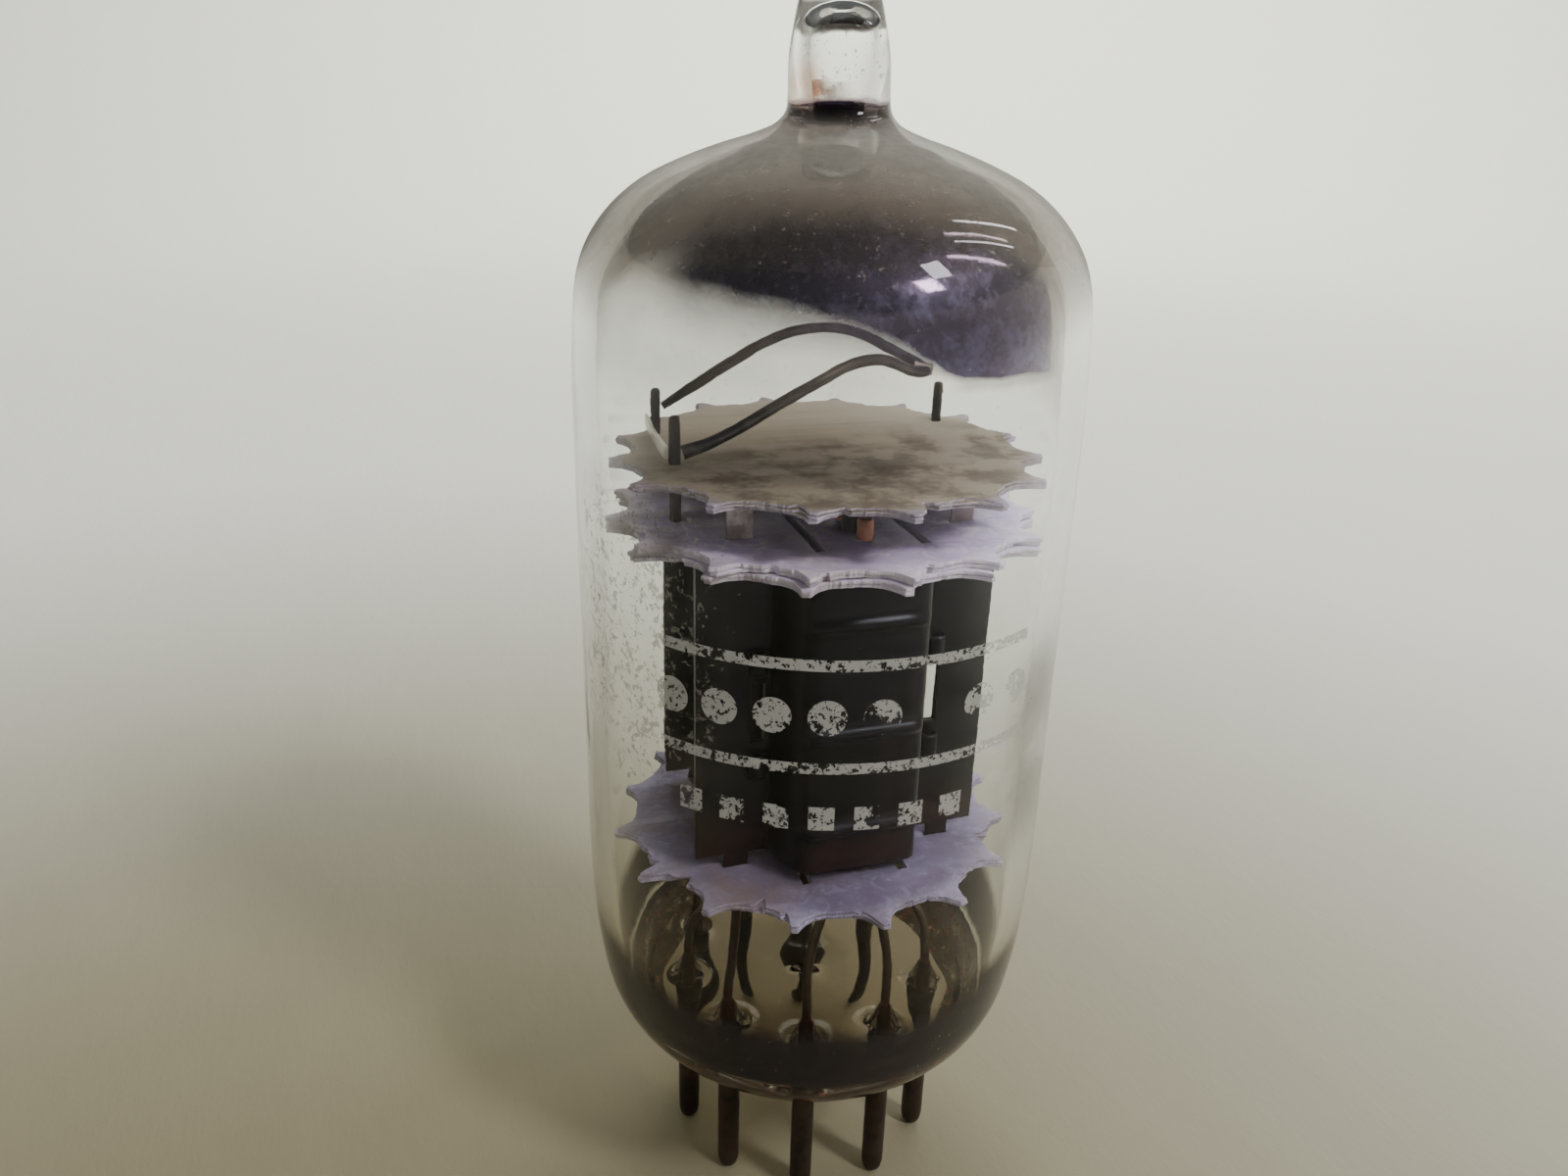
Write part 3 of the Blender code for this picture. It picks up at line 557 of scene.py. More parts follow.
def mica_material(name, sooted=False, depth=1.0):
    """Split mica: pearly sheets, frayed frosty rims, rusty stains and soot."""
    m = Nodes(name)
    x, y, z = m.xyz()
    radial = m.math("SQRT", m.math("ADD", m.math("POWER", x, 2.0), m.math("POWER", y, 2.0)))
    flow = m.noise(230.0, 5.0, 0.62, distortion=1.1)
    fine = m.noise(1300.0, 4.0, 0.7, distortion=0.8)
    flakes = m.noise(3400.0, 4.0, 0.75)
    geo = m.add("ShaderNodeNewGeometry")
    nz = m.add("ShaderNodeSeparateXYZ")
    m.link(geo.outputs["Normal"], nz.inputs[0])
    side = m.ramp(m.math("ABSOLUTE", nz.outputs[2]), 0.75, 0.3)
    edge = m.ramp(m.math("ADD", radial, m.math("MULTIPLY", m.math("SUBTRACT", flow, 0.5), 0.0012)), 0.0074, 0.0087)
    def shade(r, g, b):
        """Painted light and shade: colours are scaled by depth, so one copy is painted lighter for the middle sheets
        and one darker and more violet for the bottom sheet, which lies deepest.
        """
        cool = 1.12 if depth < 1 else 1.05
        return tuple(min(0.88, c * depth) for c in (r, g * 0.97, b * cool))

    pale = m.mix(m.ramp(flow, 0.3, 0.7), shade(0.22, 0.180, 0.265), shade(0.36, 0.315, 0.44))
    pale = m.mix(m.math("MULTIPLY", m.ramp(fine, 0.48, 0.68), 0.6), pale, shade(0.50, 0.455, 0.60))
    # Painted highlight: in the darker copy the frosty rims are lifted again by 1.5, so its frayed edges stay bright.
    k = 1.5 if depth < 1 else 1.0
    frost = m.mix(m.ramp(flakes, 0.4, 0.65), shade(0.42 * k, 0.37 * k, 0.46 * k), shade(0.70 * k, 0.66 * k, 0.76 * k))
    brown_edge = m.ramp(m.noise(420.0, 4.0, 0.6, offset=(7, 3, 0)), 0.5, 0.66)
    frost = m.mix(m.math("MULTIPLY", brown_edge, 0.55), frost, (0.235, 0.18, 0.165))
    colour = m.mix(m.math("MULTIPLY", edge, 0.45), pale, frost)
    colour = m.mix(m.math("MULTIPLY", side, 0.75), colour, frost)
    rust_where = m.math("MULTIPLY", m.ramp(m.noise(170.0, 4.0, 0.6, offset=(3, 1, 2)), 0.42, 0.66),
                        m.ramp(x, 0.003, -0.006))
    colour = m.mix(m.math("MULTIPLY", rust_where, 0.7), colour, (0.20, 0.13, 0.10))
    spots = m.ramp(flakes, 0.66, 0.74)
    colour = m.mix(m.math("MULTIPLY", spots, 0.5), colour, (0.13, 0.09, 0.09))
    if sooted:
        # The getter smoked its upper face brown, most on the near half.
        soot = m.ramp(m.noise(520.0, 6.0, 0.7, offset=(1, 4, 2)), 0.40, 0.60)
        near = m.ramp(m.math("SUBTRACT", m.math("ADD", y, m.math("MULTIPLY", m.math("SUBTRACT", flow, 0.5), 0.006)), m.math("MULTIPLY", x, 0.25)), 0.0040, -0.0016)
        faceup = m.ramp(nz.outputs[2], -0.2, 0.6)
        inside = m.ramp(radial, 0.0092, 0.0080)
        straw = m.mix(flow, (0.64, 0.585, 0.47), (0.45, 0.40, 0.315))
        colour = m.mix(m.math("MULTIPLY", faceup, m.math("MULTIPLY", inside, 0.92)), colour, straw)
        umber = m.mix(fine, (0.17, 0.125, 0.095), (0.070, 0.048, 0.040))
        keep = m.math("MULTIPLY", m.math("MULTIPLY", near, m.math("ADD", 0.34, m.math("MULTIPLY", soot, 0.56))),
                      m.math("MULTIPLY", faceup, inside))
        colour = m.mix(keep, colour, umber)
    layers = m.noise(700.0, 5.0, 0.7, stretch=(0.4, 0.4, 9.0))
    height = m.math("ADD", m.math("MULTIPLY", flow, 1.0),
                    m.math("ADD", m.math("MULTIPLY", fine, 0.35), m.math("MULTIPLY", m.math("MULTIPLY", layers, side), 0.9)))
    rough = m.math("ADD", 0.38 if sooted else 0.28, m.math("MULTIPLY", fine, 0.35))
    leaf = m.principled(Base_Color=colour, Roughness=rough, IOR=1.5,
                        Specular_IOR_Level=0.10 if sooted else 0.24, Normal=m.bump(height, 0.5, 0.00006))
    thin = m.add("ShaderNodeBsdfTranslucent")
    m.link(colour, thin.inputs[0])
    lit = m.mix_shader(0.25, leaf.outputs[0], thin.outputs[0])
    if sooted:
        clear = m.math("MULTIPLY", m.ramp(m.math("ABSOLUTE", nz.outputs[2]), 0.6, 0.95), m.math("SUBTRACT", 0.36, m.math("MULTIPLY", keep, 0.22)))
        lit = m.mix_shader(clear, lit, m.transparent((0.92, 0.90, 0.82)))
    return m.finish(lit)


def plate_material():
    m = Nodes("blackened_anode")
    x, y, z = m.xyz()
    zmm = m.math("MULTIPLY", z, 1000.0)
    cloud = m.noise(260.0, 5.0, 0.65)
    grain = m.noise(5200.0, 4.0, 0.7)
    streak = m.noise(900.0, 3.0, 0.6, stretch=(1, 1, 0.06))
    black = m.mix(cloud, (0.0022, 0.0017, 0.0022), (0.0060, 0.0044, 0.0046))
    black = m.mix(m.math("MULTIPLY", m.ramp(streak, 0.52, 0.72), 0.6), black, (0.013, 0.009, 0.009))
    foot = m.math("MULTIPLY", m.ramp(zmm, 14.4, 12.0), m.ramp(cloud, 0.35, 0.65))
    black = m.mix(m.math("MULTIPLY", foot, 0.7), black, (0.035, 0.011, 0.007))
    specks = m.ramp(m.noise(4200.0, 3.0, 0.7), 0.68, 0.74)
    black = m.mix(m.math("MULTIPLY", specks, 0.5), black, (0.09, 0.08, 0.07))
    bare = m.mix(m.noise(1600.0, 3.0), (0.80, 0.73, 0.73), (0.52, 0.44, 0.45))
    bare = m.mix(m.ramp(m.noise(620.0, 4.0, 0.6), 0.44, 0.62), bare, (0.31, 0.245, 0.245))
    where = m.math("MAXIMUM", m.ramp(zmm, 25.5, 25.8), m.ramp(zmm, 10.9, 10.7))
    colour = m.mix(where, black, bare)
    rough = m.math("ADD", 0.24, m.math("MULTIPLY", cloud, 0.12))
    metal = m.principled(Base_Color=colour, Roughness=rough, Specular_IOR_Level=0.26, Specular_Tint=(0.78, 0.80, 1.0),
                         Metallic=m.math("MULTIPLY", where, 0.35),
                         Normal=m.bump(m.math("ADD", m.math("MULTIPLY", streak, 0.4), m.math("ADD", cloud, m.math("MULTIPLY", where, m.math("MULTIPLY", m.noise(900.0, 3.0), 6.0)))), 0.07, 0.00003))
    return m.finish(metal.outputs[0])


def metal_material(name, light, dark, rough=0.35, metallic=1.0, scale=700.0, drawn=(1, 1, 0.15),
                   blotch=None, blotch_amount=0.0):
    """Drawn or plated metal with die lines, tarnish and small pits."""
    m = Nodes(name)
    lines = m.noise(scale * 2.5, 3.0, 0.6, stretch=drawn)
    tarnish = m.noise(scale * 0.6, 5.0, 0.65)
    pits = m.noise(scale * 6.0, 3.0, 0.7)
    colour = m.mix(m.ramp(tarnish, 0.35, 0.65), dark, light)
    if blotch:
        colour = m.mix(m.math("MULTIPLY", m.ramp(m.noise(scale * 0.9, 4.0, 0.6, offset=(2, 5, 1)), 0.5, 0.66),
                              blotch_amount), colour, blotch)
    r = m.math("ADD", rough - 0.1, m.math("MULTIPLY", tarnish, 0.25))
    height = m.math("ADD", lines, m.math("MULTIPLY", pits, 0.5))
    shader = m.principled(Base_Color=colour, Roughness=r, Metallic=metallic,
                          Normal=m.bump(height, 0.3, 0.00003))
    return m.finish(shader.outputs[0])


def lead_material():
    m = Nodes("seal_and_lead_wire")
    x, y, z = m.xyz()
    zmm = m.math("MULTIPLY", z, 1000.0)
    uneven = m.math("MULTIPLY", m.math("SUBTRACT", m.noise(500.0, 3.0), 0.5), 1.6)
    seal = m.ramp(m.math("ADD", zmm, uneven), 4.9, 3.7)
    rusty = m.mix(m.noise(900.0, 4.0), (0.105, 0.012, 0.006), (0.022, 0.005, 0.005))
    nickel = m.mix(m.noise(800.0, 5.0, 0.65), (0.115, 0.075, 0.05), (0.028, 0.018, 0.013))
    colour = m.mix(seal, nickel, rusty)
    shader = m.principled(Base_Color=colour, Roughness=m.math("ADD", 0.2, m.math("MULTIPLY", m.noise(2500.0), 0.3)),
                          Metallic=0.6, Normal=m.bump(m.noise(3000.0, 3.0), 0.3, 0.00003))
    return m.finish(shader.outputs[0])


def coating_material():
    m = Nodes("heater_coating")
    grain = m.noise(6000.0, 4.0, 0.7)
    colour = m.mix(grain, (0.86, 0.85, 0.80), (0.70, 0.68, 0.64))
    shader = m.principled(Base_Color=colour, Roughness=0.9, Normal=m.bump(grain, 0.6, 0.00004))
    return m.finish(shader.outputs[0])


def ink_material():
    m = Nodes("worn_ink")
    wear = m.noise(1500.0, 5.0, 0.7)
    pinholes = m.noise(5200.0, 3.0, 0.7)
    rub = m.noise(210.0, 3.0, 0.6)
    colour = m.mix(m.noise(1800.0), (0.56, 0.55, 0.53), (0.36, 0.355, 0.35))
    ink = m.principled(Base_Color=colour, Roughness=0.6, Normal=m.bump(wear, 0.4, 0.00003))
    threshold = m.math("ADD", 0.36, m.math("MULTIPLY", m.ramp(rub, 0.35, 0.75), 0.17))
    solid = m.ramp(m.math("SUBTRACT", wear, threshold), 0.0, 0.02)
    solid = m.math("MULTIPLY", solid, m.math("LESS_THAN", pinholes, 0.57))
    return m.finish(m.mix_shader(m.math("MULTIPLY", solid, 0.78), m.transparent((1, 1, 1)), ink.outputs[0]))


def floor_material():
    m = Nodes("pale_paper")
    fibres = m.noise(900.0, 5.0, 0.7, stretch=(1, 0.4, 1))
    weave = m.noise(160.0, 3.0, 0.6, stretch=(1.0, 0.3, 1))
    x, y, z = m.xyz()
    # Painted shadow: the sheet is darker and warmer round one spot at the front left of the tube.
    dx = m.math("SUBTRACT", x, -0.029)
    dy = m.math("SUBTRACT", y, -0.0215)
    shadow_distance = m.math("SQRT", m.math("ADD", m.math("POWER", dx, 2.0), m.math("POWER", dy, 2.0)))
    painted_shadow_colour = m.mix(weave, (0.235, 0.208, 0.128), (0.205, 0.182, 0.110))
    cool = m.mix(weave, (0.81, 0.80, 0.72), (0.77, 0.765, 0.685))
    colour = m.mix(m.ramp(shadow_distance, 0.020, 0.150), painted_shadow_colour, cool)
    sheet = m.principled(Base_Color=colour, Roughness=0.85,
                         Normal=m.bump(m.math("ADD", fibres, weave), 0.25, 0.0002))
    return m.finish(sheet.outputs[0])


GLASS = glass_material()
FILM = film_material()
NECK_FILM = neck_film_material()
# Painted light and shade: lit and shaded copies of one mica, lighter for the middle sheets and darker for the bottom
# one.
MICA_PAINTED_LIGHT = mica_material("mica_sheet", depth=1.9)
MICA_PAINTED_SHADE = mica_material("mica_sheet_painted_shade", depth=0.50)
MICA_SOOTED = mica_material("mica_sheet_sooted", sooted=True)
PLATE = plate_material()
PIN = metal_material("oxidised_pin", (0.055, 0.040, 0.030), (0.014, 0.010, 0.008), rough=0.42, metallic=0.5,
                     blotch=(0.05, 0.022, 0.013), blotch_amount=0.6)
LEAD = lead_material()
COPPER = metal_material("copper_rod", (0.42, 0.195, 0.160), (0.23, 0.085, 0.070), rough=0.34)
GOLD_WIRE = metal_material("gold_grid_wire", (0.78, 0.62, 0.32), (0.5, 0.38, 0.2), rough=0.3)
NICKEL = metal_material("nickel", (0.38, 0.35, 0.34), (0.12, 0.10, 0.095), rough=0.34)
STRAP = metal_material("bright_strap", (0.70, 0.68, 0.60), (0.46, 0.42, 0.36), rough=0.4, metallic=0.8)
DARK_SLEEVE = metal_material("dark_sleeve", (0.060, 0.045, 0.043), (0.014, 0.010, 0.010), rough=0.4, metallic=0.6)
GETTER = metal_material("burnt_getter_wire", (0.13, 0.115, 0.12), (0.030, 0.026, 0.028), rough=0.3, drawn=(0.3, 1, 1))
COATING = coating_material()
INK = ink_material()

# ----------------------------------------------------------------------------
# glass envelope: bulb, stem and tip fused into one wall round one cavity
# ----------------------------------------------------------------------------
OUTER = [(0.45, 46.95), (0.9, 46.4), (1.22, 45.65), (1.5, 44.8), (1.68, 44.0), (1.86, 43.0),
         (1.915, 42.0), (1.93, 41.4), (2.02, 40.95), (2.32, 40.6), (2.95, 40.3), (4.35, 39.85),
         (5.95, 39.25), (7.45, 38.5), (8.35, 37.8), (9.07, 37.0), (9.66, 36.0), (9.97, 35.0),
         (10.18, 33.0), (10.26, 31.0), (10.29, 28.0), (10.29, 22.0), (10.29, 15.0), (10.28, 9.0),
         (10.13, 6.2), (9.92, 4.5), (9.68, 3.2), (9.3, 2.2), (8.85, 1.5), (8.25, 0.85),
         (7.8, 0.38), (7.4, 0.1)]
INNER = [(0.98, 41.2), (0.97, 40.2), (0.98, 38.6), (1.08, 38.3), (1.26, 38.42), (1.34, 38.9), (1.44, 39.5),
         (1.75, 39.72), (2.6, 39.45), (4.0, 38.95), (5.55, 38.35), (6.9, 37.6), (7.6, 37.05),
         (8.2, 36.4), (8.72, 35.6), (9.0, 34.8), (9.22, 33.0), (9.31, 31.0), (9.34, 28.0),
         (9.34, 22.0), (9.34, 15.0), (9.32, 8.7), (9.2, 6.4), (9.02, 4.8), (8.72, 3.6),
         (8.3, 2.75), (7.8, 2.35)]


def stem_height(x, y):
    """Top of the stem: a shallow dish with a drawn-up bead round each lead."""
    r = math.hypot(x, y)
    z = 2.3 - 0.25 * math.exp(-((r - 3.2) / 1.9) ** 2) + 0.12 * math.exp(-(r / 1.2) ** 2)
    for px, py in PIN_XY:
        d = math.hypot(x - px, y - py)
        z += 1.55 / (1.0 + (d / 0.52) ** 3.2)
    return z


def envelope():
    bm = bmesh.new()
    steps = 216
    outer = [(0.0, 47.1), (0.22, 47.06)] + [tuple(p) for p in catmull(OUTER, 3)]

    def outside(x, y, z):
        # Hand-sealed tip: it leans a little and isn't quite round.
        if z > 41:
            k = (z - 41) / 6
            x = x * (1 + 0.03 * k) - 0.16 * k
            y = y * (1 - 0.02 * k)
        return x, y, z

    # Underside: flat seating face with a rounded rim and a small centre dimple.
    base = [(7.1, 0.0), (6.4, 0.0), (5.2, 0.0), (3.6, 0.0), (2.0, 0.0), (1.1, 0.0), (0.8, 0.03),
            (0.45, 0.14), (0.0, 0.18)]
    lathe("outer", outer + base, steps, GLASS, into=bm, warp=outside)
    # Cavity: its faces look into the cavity, so its profile runs the other way.
    dome = [(0.0, 44.6), (0.3, 44.57), (0.6, 44.46), (0.85, 44.28), (1.04, 44.02), (1.16, 43.7), (1.2, 43.3),
            (1.18, 42.7), (1.1, 42.0)] + [tuple(p) for p in catmull(INNER, 3)]
    floor = [(7.8 - 7.8 * k / 64, 2.3) for k in range(1, 64)] + [(0.0, 2.3)]
    first = len(dome)
    rings = lathe("inner", dome, steps, GLASS, into=bm)
    last = rings[-1]
    ring_prev = last
    for r, _ in floor:
        if r < 1e-6:
            centre = bm.verts.new((0, 0, stem_height(0, 0) * MM))
            for k in range(steps):
                bm.faces.new((ring_prev[(k + 1) % steps], ring_prev[k], centre))
            break
        ring = []
        for k in range(steps):
            a = math.tau * k / steps
            x, y = r * math.sin(a), -r * math.cos(a)
            lift = stem_height(x, y)
            if r > 7.2:
                t = (7.8 - r) / 0.6
                lift = lift * t + 2.35 * (1 - t)
            ring.append(bm.verts.new((x * MM, y * MM, lift * MM)))
        for k in range(steps):
            k2 = (k + 1) % steps
            bm.faces.new((ring_prev[k], ring[k], ring[k2], ring_prev[k2]))
        ring_prev = ring
    bm.normal_update()
    # Every face made from the dome down belongs to the cavity and is turned over.
    cavity = set()
    stack = [rings[0][0]]
    seen = {rings[0][0]}
    while stack:
        v = stack.pop()
        for f in v.link_faces:
            cavity.add(f)
        for e in v.link_edges:
            o = e.other_vert(v)
            if o not in seen:
                seen.add(o)
                stack.append(o)
    bmesh.ops.reverse_faces(bm, faces=list(cavity))
    mesh = bpy.data.meshes.new("glass_envelope")
    bm.to_mesh(mesh)
    bm.free()
    return new_object("glass_envelope", mesh, GLASS)


on_root(envelope(), "glass_bulb", "exhaust_tip", "button_stem", slot="bulb_glass")

# Films on the inside: they lie a hair inside the cavity's wall.
wall = [tuple(p) for p in catmull(INNER, 4)]
dome_wall = [(r - 0.02, z - 0.012) for r, z in wall if z > 28.6 and r > 1.75]
on_root(lathe("getter_flash", dome_wall, 160, FILM), slot="bulb_glass")
neck_wall = [(r - 0.015, z) for r, z in [(1.15, 42.7), (1.09, 42.0)] + wall if z > 38.5 and r < 1.1]
on_root(lathe("neck_stain", neck_wall, 72, NECK_FILM), slot="bulb_glass")

# ----------------------------------------------------------------------------
# pins, leads
# ----------------------------------------------------------------------------
for i, (x, y) in enumerate(PIN_XY):
    top = [(0.0, 1.9), (0.3, 1.85), (0.46, 1.7), (PIN_R, 1.45), (PIN_R, 0.6), (PIN_R, -0.15)]
    body = [(PIN_R * (1 + 0.012 * math.sin(k * 2.1 + i)), -0.5 - k * 0.55) for k in range(10)]
    end = [(PIN_R - 0.004, PIN_BOTTOM + 0.62), (PIN_R - 0.03, PIN_BOTTOM + 0.4), (0.43, PIN_BOTTOM + 0.2),
           (0.34, PIN_BOTTOM + 0.07), (0.2, PIN_BOTTOM + 0.005), (0.0, PIN_BOTTOM)]
    on_root(lathe(f"base_pin_{i + 1}", top + body + end, 36, PIN, centre=(x, y), sharp=60),
            f"pin_{i + 1}", slot="pin_metal")

LEAD_ROUTES = {
    "lead_plate_rear": (1, [(4.7, 3.75, 6.2), (4.62, 4.0, 8.6), (4.6, 4.08, 10.3)]),
    "lead_grid_rear": (2, [(1.84, 5.6, 6.5), (1.3, 5.35, 8.6), (0.66, 5.0, 9.9)]),
    "lead_cathode_rear": (3, [(-1.84, 5.5, 6.2), (-1.55, 5.05, 8.3), (-1.35, 4.65, 9.4)]),
    "lead_heater_rear": (4, [(-4.6, 3.35, 6.0), (-2.4, 3.25, 8.1), (-0.95, 3.4, 8.6)]),
    "lead_heater_front": (5, [(-5.7, -0.4, 6.0), (-3.2, -1.8, 8.1), (-1.35, -3.0, 8.55)]),
    "lead_plate_front": (6, [(-4.7, -3.75, 6.2), (-4.62, -4.0, 8.6), (-4.6, -4.08, 10.3)]),
    "lead_grid_front": (7, [(-1.84, -5.6, 6.5), (-1.3, -5.35, 8.6), (-0.66, -5.0, 9.9)]),
    "lead_cathode_front": (8, [(1.84, -5.5, 6.2), (1.55, -5.05, 8.3), (1.35, -4.65, 9.4)]),
    "lead_heater_tap": (9, [(4.6, -3.2, 6.0), (2.6, -1.6, 8.1), (1.0, 0.0, 8.5)]),
}
for k, (name, (pin, route)) in enumerate(LEAD_ROUTES.items()):
    x, y = PIN_XY[pin - 1]
    path = catmull([(x, y, 1.3), (x, y, 2.6), (x, y, 4.2)] + route, 10)
    on_root(tube_along(name + "_wire", path, lambda u: LEAD_R * (1.0 - 0.05 * u), LEAD, sides=14,
                       ripple=0.12, seed=k), name, slot="lead_metal")


# ----------------------------------------------------------------------------
# micas: each sheet is two or three split leaves with frayed rims
# ----------------------------------------------------------------------------
def mica_radius(angle, turn, seed, wear):
    """Rim radius in mm at an azimuth in degrees."""
    pitch = 360.0 / SPURS
    phase = ((angle - turn) / pitch) % 1.0
    u = abs(phase - 0.5) * 2          # 1 on a spur, 0 between spurs
    k = math.floor((angle - turn) / pitch + 0.5) % SPURS
    blunt = 1.0 - 2 * math.degrees(0.15 / MICA_R) / pitch
    share = min(1.0, u / blunt)
    rise = 0.75 * share ** 3.2 + 0.25 * (1 if share >= 1 else share ** 9)
    rnd = noise.noise(Vector((k * 7.3 + seed, seed * 1.7, 0.5)))
    tip = MICA_R - max(0.0, 0.3 * rnd)
    waist = MICA_WAIST_R + 0.12 * noise.noise(Vector((k * 3.1, seed, 9.0)))
    a = math.radians(angle)
    frayed = noise.noise(Vector((math.cos(a) * 30, math.sin(a) * 30, seed))) * 0.6 \
        + noise.noise(Vector((math.cos(a) * 95, math.sin(a) * 95, seed + 4))) * 0.4
    bite = noise.noise(Vector((math.cos(a) * 11, math.sin(a) * 11, seed + 20)))
    chip = max(0.0, bite - 0.28) * 1.1
    return min(MICA_R, waist + (tip - waist) * rise + wear * frayed - chip)


def punched(outline, holes, z0, z1, leaf_noise, seed):
    """A thin prism from an outline and holes, made with a filled curve."""
    curve = bpy.data.curves.new("leaf", "CURVE")
    curve.dimensions = "2D"
    curve.fill_mode = "BOTH"
    curve.extrude = (z1 - z0) / 2 * MM
    curve.bevel_depth = 0.012 * MM
    curve.bevel_resolution = 1
    for loop in [outline] + holes:
        spline = curve.splines.new("POLY")
        spline.points.add(len(loop) - 1)
        for target, (x, y) in zip(spline.points, loop):
            target.co = (x * MM, y * MM, 0.0, 1.0)
        spline.use_cyclic_u = True
    obj = bpy.data.objects.new("leaf", curve)
    scene.collection.objects.link(obj)
    bpy.context.view_layer.update()
    mesh = bpy.data.meshes.new_from_object(obj.evaluated_get(bpy.context.evaluated_depsgraph_get()))
    bpy.data.objects.remove(obj, do_unlink=True)
    bpy.data.curves.remove(curve)
    bm = bmesh.new()
    bm.from_mesh(mesh)
    bmesh.ops.remove_doubles(bm, verts=bm.verts, dist=0.000002)
    for v in bm.verts:
        x, y = v.co.x / MM, v.co.y / MM
        r = math.hypot(x, y)
        bend = leaf_noise * noise.noise(Vector((x * 0.45, y * 0.45, seed))) * max(0.0, (r - 6.0) / 3.2)
        v.co.z += ((z0 + z1) / 2 + bend) * MM
    bmesh.ops.recalc_face_normals(bm, faces=bm.faces)
    return bm


def circle(x, y, r, n=28):
    return [(x + r * math.cos(math.tau * k / n), y + r * math.sin(math.tau * k / n)) for k in range(n)]


def rect(x0, x1, y0, y1, per=4):
    pts = []
    for (ax, ay), (bx, by) in zip([(x0, y0), (x1, y0), (x1, y1), (x0, y1)], [(x1, y0), (x1, y1), (x0, y1), (x0, y0)]):
        pts += [(ax + (bx - ax) * k / per, ay + (by - ay) * k / per) for k in range(per)]
    return pts


def mica_sheet(name, node, z, turn, holes, mat, leaves=3, seed=1.0):
    whole = bmesh.new()
    gap = 0.012
    thick = (MICA_T - gap * (leaves - 1)) / leaves
    for n in range(leaves):
        z0 = z + n * (thick + gap)
        outline = []
        count = 1440
        for k in range(count):
            angle = 360.0 * k / count
            r = mica_radius(angle, turn, seed + n * 0.22, 0.075 + 0.03 * n) - 0.06 * (n != 1)
            outline.append(around(angle, r))
        part = punched(outline, holes, z0, z0 + thick - 0.024, 0.05, seed + n)
        held = bpy.data.meshes.new("held")
        part.to_mesh(held)
        part.free()
        whole.from_mesh(held)
        bpy.data.meshes.remove(held)
    mesh = bpy.data.meshes.new(name)
    whole.to_mesh(mesh)
    whole.free()
    return on_root(new_object(name, mesh, mat, sharp=30), node, slot="mica")


POSTS = {"post_rear_left": (-6.55, 3.5, 30.15), "post_front_left": (-6.54, -1.2, 30.1),
         "post_right": (6.55, 3.2, 30.0)}
post_holes = [circle(x, y, 0.27, 20) for x, y, _ in POSTS.values()]
electrode_holes, ear_holes, slots = [], [], []
for side in (-1, 1):
    yc = side * TRIODE_Y
    electrode_holes.append(circle(0, yc, 0.56))
    for dy in (-ROD_DY, ROD_DY):
        electrode_holes.append(circle(0, yc + dy, ROD_R + 0.04))
    for flip in (-1, 1):
        xs = sorted((flip * (EAR_X[0] - 0.08), flip * (EAR_X[1] + 0.08)))
        y_ear = yc + side * SEAM
        ear_holes.append(rect(xs[0], xs[1], y_ear - 0.14, y_ear + 0.14))
        slots.append(rect(flip * 2.1 - 0.22, flip * 2.1 + 0.22, *sorted((side * 1.0, side * 5.9)), per=6))
working = electrode_holes + ear_holes + slots
mica_sheet("bottom_mica_leaves", "mica_bottom", 10.8, 0.0, working, MICA_PAINTED_SHADE, 3, 2.0)
mica_sheet("middle_lower_mica_leaves", "mica_middle_lower", 25.2, 0.0, working + post_holes, MICA_PAINTED_LIGHT, 2, 5.0)
mica_sheet("middle_upper_mica_leaves", "mica_middle_upper", 25.57, 1.6, working + post_holes, MICA_PAINTED_LIGHT, 2, 8.0)
mica_sheet("top_mica_leaves", "mica_top", 27.9, 0.8, post_holes, MICA_SOOTED, 3, 11.0)


